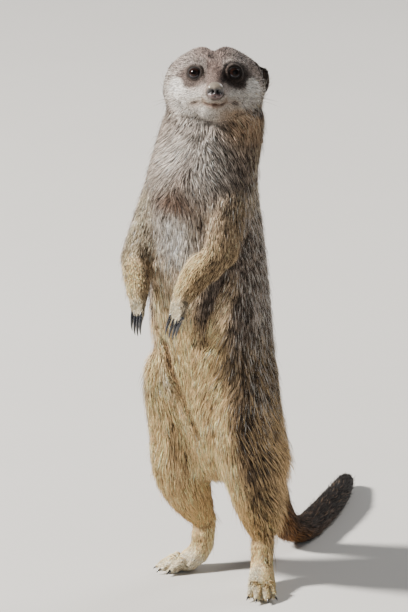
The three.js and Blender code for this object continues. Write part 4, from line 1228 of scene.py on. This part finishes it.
def makeWhiskers(material):
    starts, headings, lengths = [], [], []
    for group in whiskerSets:
        for sign in bothSides.values():
            size = (group["number"], 3)
            starts.append((np.array(group["at"]) + chance.uniform(-1, 1, size) * group["spread"]) * [sign, 1, 1])
            heading = np.array(group["heading"]) + chance.normal(0, group["fan"], size)
            headings.append(unit(heading * [sign, 1, 1]))
            lengths.append(chance.uniform(*group["length"], group["number"]))
    start, length = fromHead(np.concatenate(starts)), np.concatenate(lengths)
    heading = np.concatenate(headings) @ headAxes.T
    count, rings = len(start), whiskers["rings"]
    share = np.linspace(0, 1, rings)
    line = start[:, None] + heading[:, None] * (length[:, None] * share)[..., None]
    line[..., 2] -= whiskers["droop"] * length[:, None] * share ** 2
    side = unit(np.cross(heading, [0, 0, 1]))
    up = np.cross(side, heading)
    half = whiskers["half"] * (1 - share * 0.85)
    turns = np.arange(4) / 4 * 2 * math.pi
    ring = side[:, None] * np.cos(turns)[None, :, None] + up[:, None] * np.sin(turns)[None, :, None]
    points = (line[:, :, None] + ring[:, None] * half[None, :, None, None]).reshape(-1, 3)
    tube = gridFaces(rings, 4)
    ends = np.array([[0, 1, 2, 3], [rings * 4 - 1, rings * 4 - 2, rings * 4 - 3, rings * 4 - 4]])
    faces = (np.arange(count)[:, None, None] * rings * 4 + np.concatenate([tube, ends])).reshape(-1, 4)
    piece = meshFrom("whiskers", points, faces.tolist(), material)
    outward(piece)
    return finished(piece, "pale_coat")


def furFinish(name, roughness):
    fur = Finish(name, Roughness=roughness, Specular_IOR_Level=0.22)
    speck = fur.grain(900.0, 3.0) * 0.5 + 0.75
    specks = fur.node("ShaderNodeCombineColor", {}, {"Red": speck, "Green": speck, "Blue": speck})
    fur.feedSurface(Base_Color=fur.mixed(1.0, fur.keptColour(), specks, "MULTIPLY"))
    return fur


def skinFinish():
    skin = furFinish("skin under the fur", 0.75)
    skin.bumped(skin.grain(1400.0, 3.0), 0.5, 0.0006)
    return skin.material


def eyeFinish():
    eye = Finish("wet eye", Roughness=0.15, Coat_Weight=0.22, Coat_Roughness=0.02, Specular_IOR_Level=0.05)
    eye.feedSurface(Base_Color=eye.keptColour())
    return eye.material


def lidFinish():
    lid = Finish("dark lid skin", Roughness=0.6, Specular_IOR_Level=0.2)
    crease = lid.grain(1500.0, 4.0)
    lid.feedSurface(Base_Color=lid.mixedColours(crease, (12, 9, 9), (30, 21, 18)))
    lid.bumped(crease, 0.5, 0.0004)
    return lid.material


def noseFinish():
    pad = Finish("moist nose skin", Specular_IOR_Level=0.5, Coat_Roughness=0.12, Coat_Weight=0.8)
    cells = {"Vector": pad.place(), "Scale": 2800.0}
    pebbles = pad.node("ShaderNodeTexVoronoi", {"feature": "DISTANCE_TO_EDGE"}, cells)
    tone = pad.mixed(pebbles * 1.5 + 0.55, (*linear(20, 14, 14), 1), pad.keptColour())
    pad.feedSurface(Base_Color=tone, Roughness=0.45 - pebbles * 0.3)
    pad.bumped(pebbles, 0.5, 0.00015)
    return pad.material


def clawFinish():
    claw = Finish("claw horn", Roughness=0.25, Coat_Weight=0.8, Coat_Roughness=0.1)
    streak = claw.grain(500.0, 3.0)
    # dark horn with a faint blue cast: the dark horn is real, the blue cast is painted reflection
    claw.feedSurface(Base_Color=claw.mixedColours(streak, (12, 13, 18), (40, 40, 46)))
    claw.bumped(streak, 0.3, 0.0002)
    return claw.material


def whiskerFinish():
    thread = Finish("whisker", Roughness=0.4)
    thread.feedSurface(Base_Color=thread.mixedColours(thread.grain(200.0), (96, 86, 78), (190, 180, 166)))
    return thread.material


def floorFinish():
    floor = Finish("pale floor", Roughness=0.85)
    floor.feedSurface(Base_Color=floor.mixed(floor.grain(6.0), (0.62, 0.6, 0.57, 1), (0.66, 0.64, 0.61, 1)))
    return floor.material


view = {"turn": 35.0, "lift": 17.0, "distance": 2.4, "height": 0.3366, "aside": -8.25, "aimHeight": 160.5}


def makeCamera():
    turn, lift = math.radians(view["turn"]), math.radians(view["lift"])
    back = Vector((math.sin(turn) * math.cos(lift), -math.cos(turn) * math.cos(lift), math.sin(lift)))
    aim = Vector(inScene([view["aside"] * math.cos(turn), view["aside"] * math.sin(turn), view["aimHeight"]]))
    lens = bpy.data.cameras.new("camera")
    lens.lens = lens.sensor_width * view["distance"] / view["height"]
    lens.clip_start, lens.clip_end = 0.05, 50
    camera = placed("camera", lens)
    camera.location = aim + back * view["distance"]
    camera.rotation_euler = back.to_track_quat("Z", "Y").to_euler()
    bpy.context.scene.camera = camera


lamps = {  # place, size and strength of each soft lamp
    "key": dict(at=(-1.95, -1.75, 1.95), size=0.45, power=340, tint=(1.0, 0.97, 0.92)),
    "fill": dict(at=(1.4, -1.1, 0.7), size=1.4, power=3, tint=(0.9, 0.95, 1.0)),
    "rim": dict(at=(0.2, 1.6, 1.1), size=1.0, power=18, tint=(1.0, 0.97, 0.94)),
}


studio = {"lampsAim": (0, 0, 0.15), "air": (0.88, 0.94, 1.0, 1), "airStrength": 0.2, "floorReach": 3000.0,
          "floorDrop": -0.4}


def makeLights():
    for name, lamp in lamps.items():
        light = bpy.data.lights.new(name, "AREA")
        light.shape, light.size, light.energy, light.color = "DISK", lamp["size"], lamp["power"], lamp["tint"]
        made = placed(name, light)
        made.location = lamp["at"]
        made.rotation_euler = (Vector(lamp["at"]) - Vector(studio["lampsAim"])).to_track_quat("Z", "Y").to_euler()
    world = bpy.data.worlds.new("studio")
    world.use_nodes = True
    colour, strength = world.node_tree.nodes["Background"].inputs[:2]
    colour.default_value, strength.default_value = studio["air"], studio["airStrength"]
    bpy.context.scene.world = world


def makeFloor(material):  # a wide square just under the feet
    reach, drop = studio["floorReach"], studio["floorDrop"]
    corners = np.array([[-reach, -reach, drop], [reach, -reach, drop], [reach, reach, drop], [-reach, reach, drop]])
    piece = meshFrom("floor", corners + middleOfBox, [[0, 1, 2, 3]], material)


print("camera, light and floor")
makeCamera()
makeLights()
makeFloor(floorFinish())
print("skin")
skin, average = makeSkin(skinFinish())
print("skin has", len(skin.data.polygons), "faces")
print("coat")
growCoat(skin, average, furFinish("fur", 0.62).material)
finished(skin, "coat", *flesh)
print("eyes, lids, nose and whiskers")
wetEye, lidSkin = eyeFinish(), lidFinish()
for sideName in bothSides:
    makeEye(sideName, wetEye)
    makeLids(sideName, lidSkin)
makeNose(noseFinish())
makeWhiskers(whiskerFinish())
horn = clawFinish()
for group in digits:
    makeClaws(group, horn)

print("done")
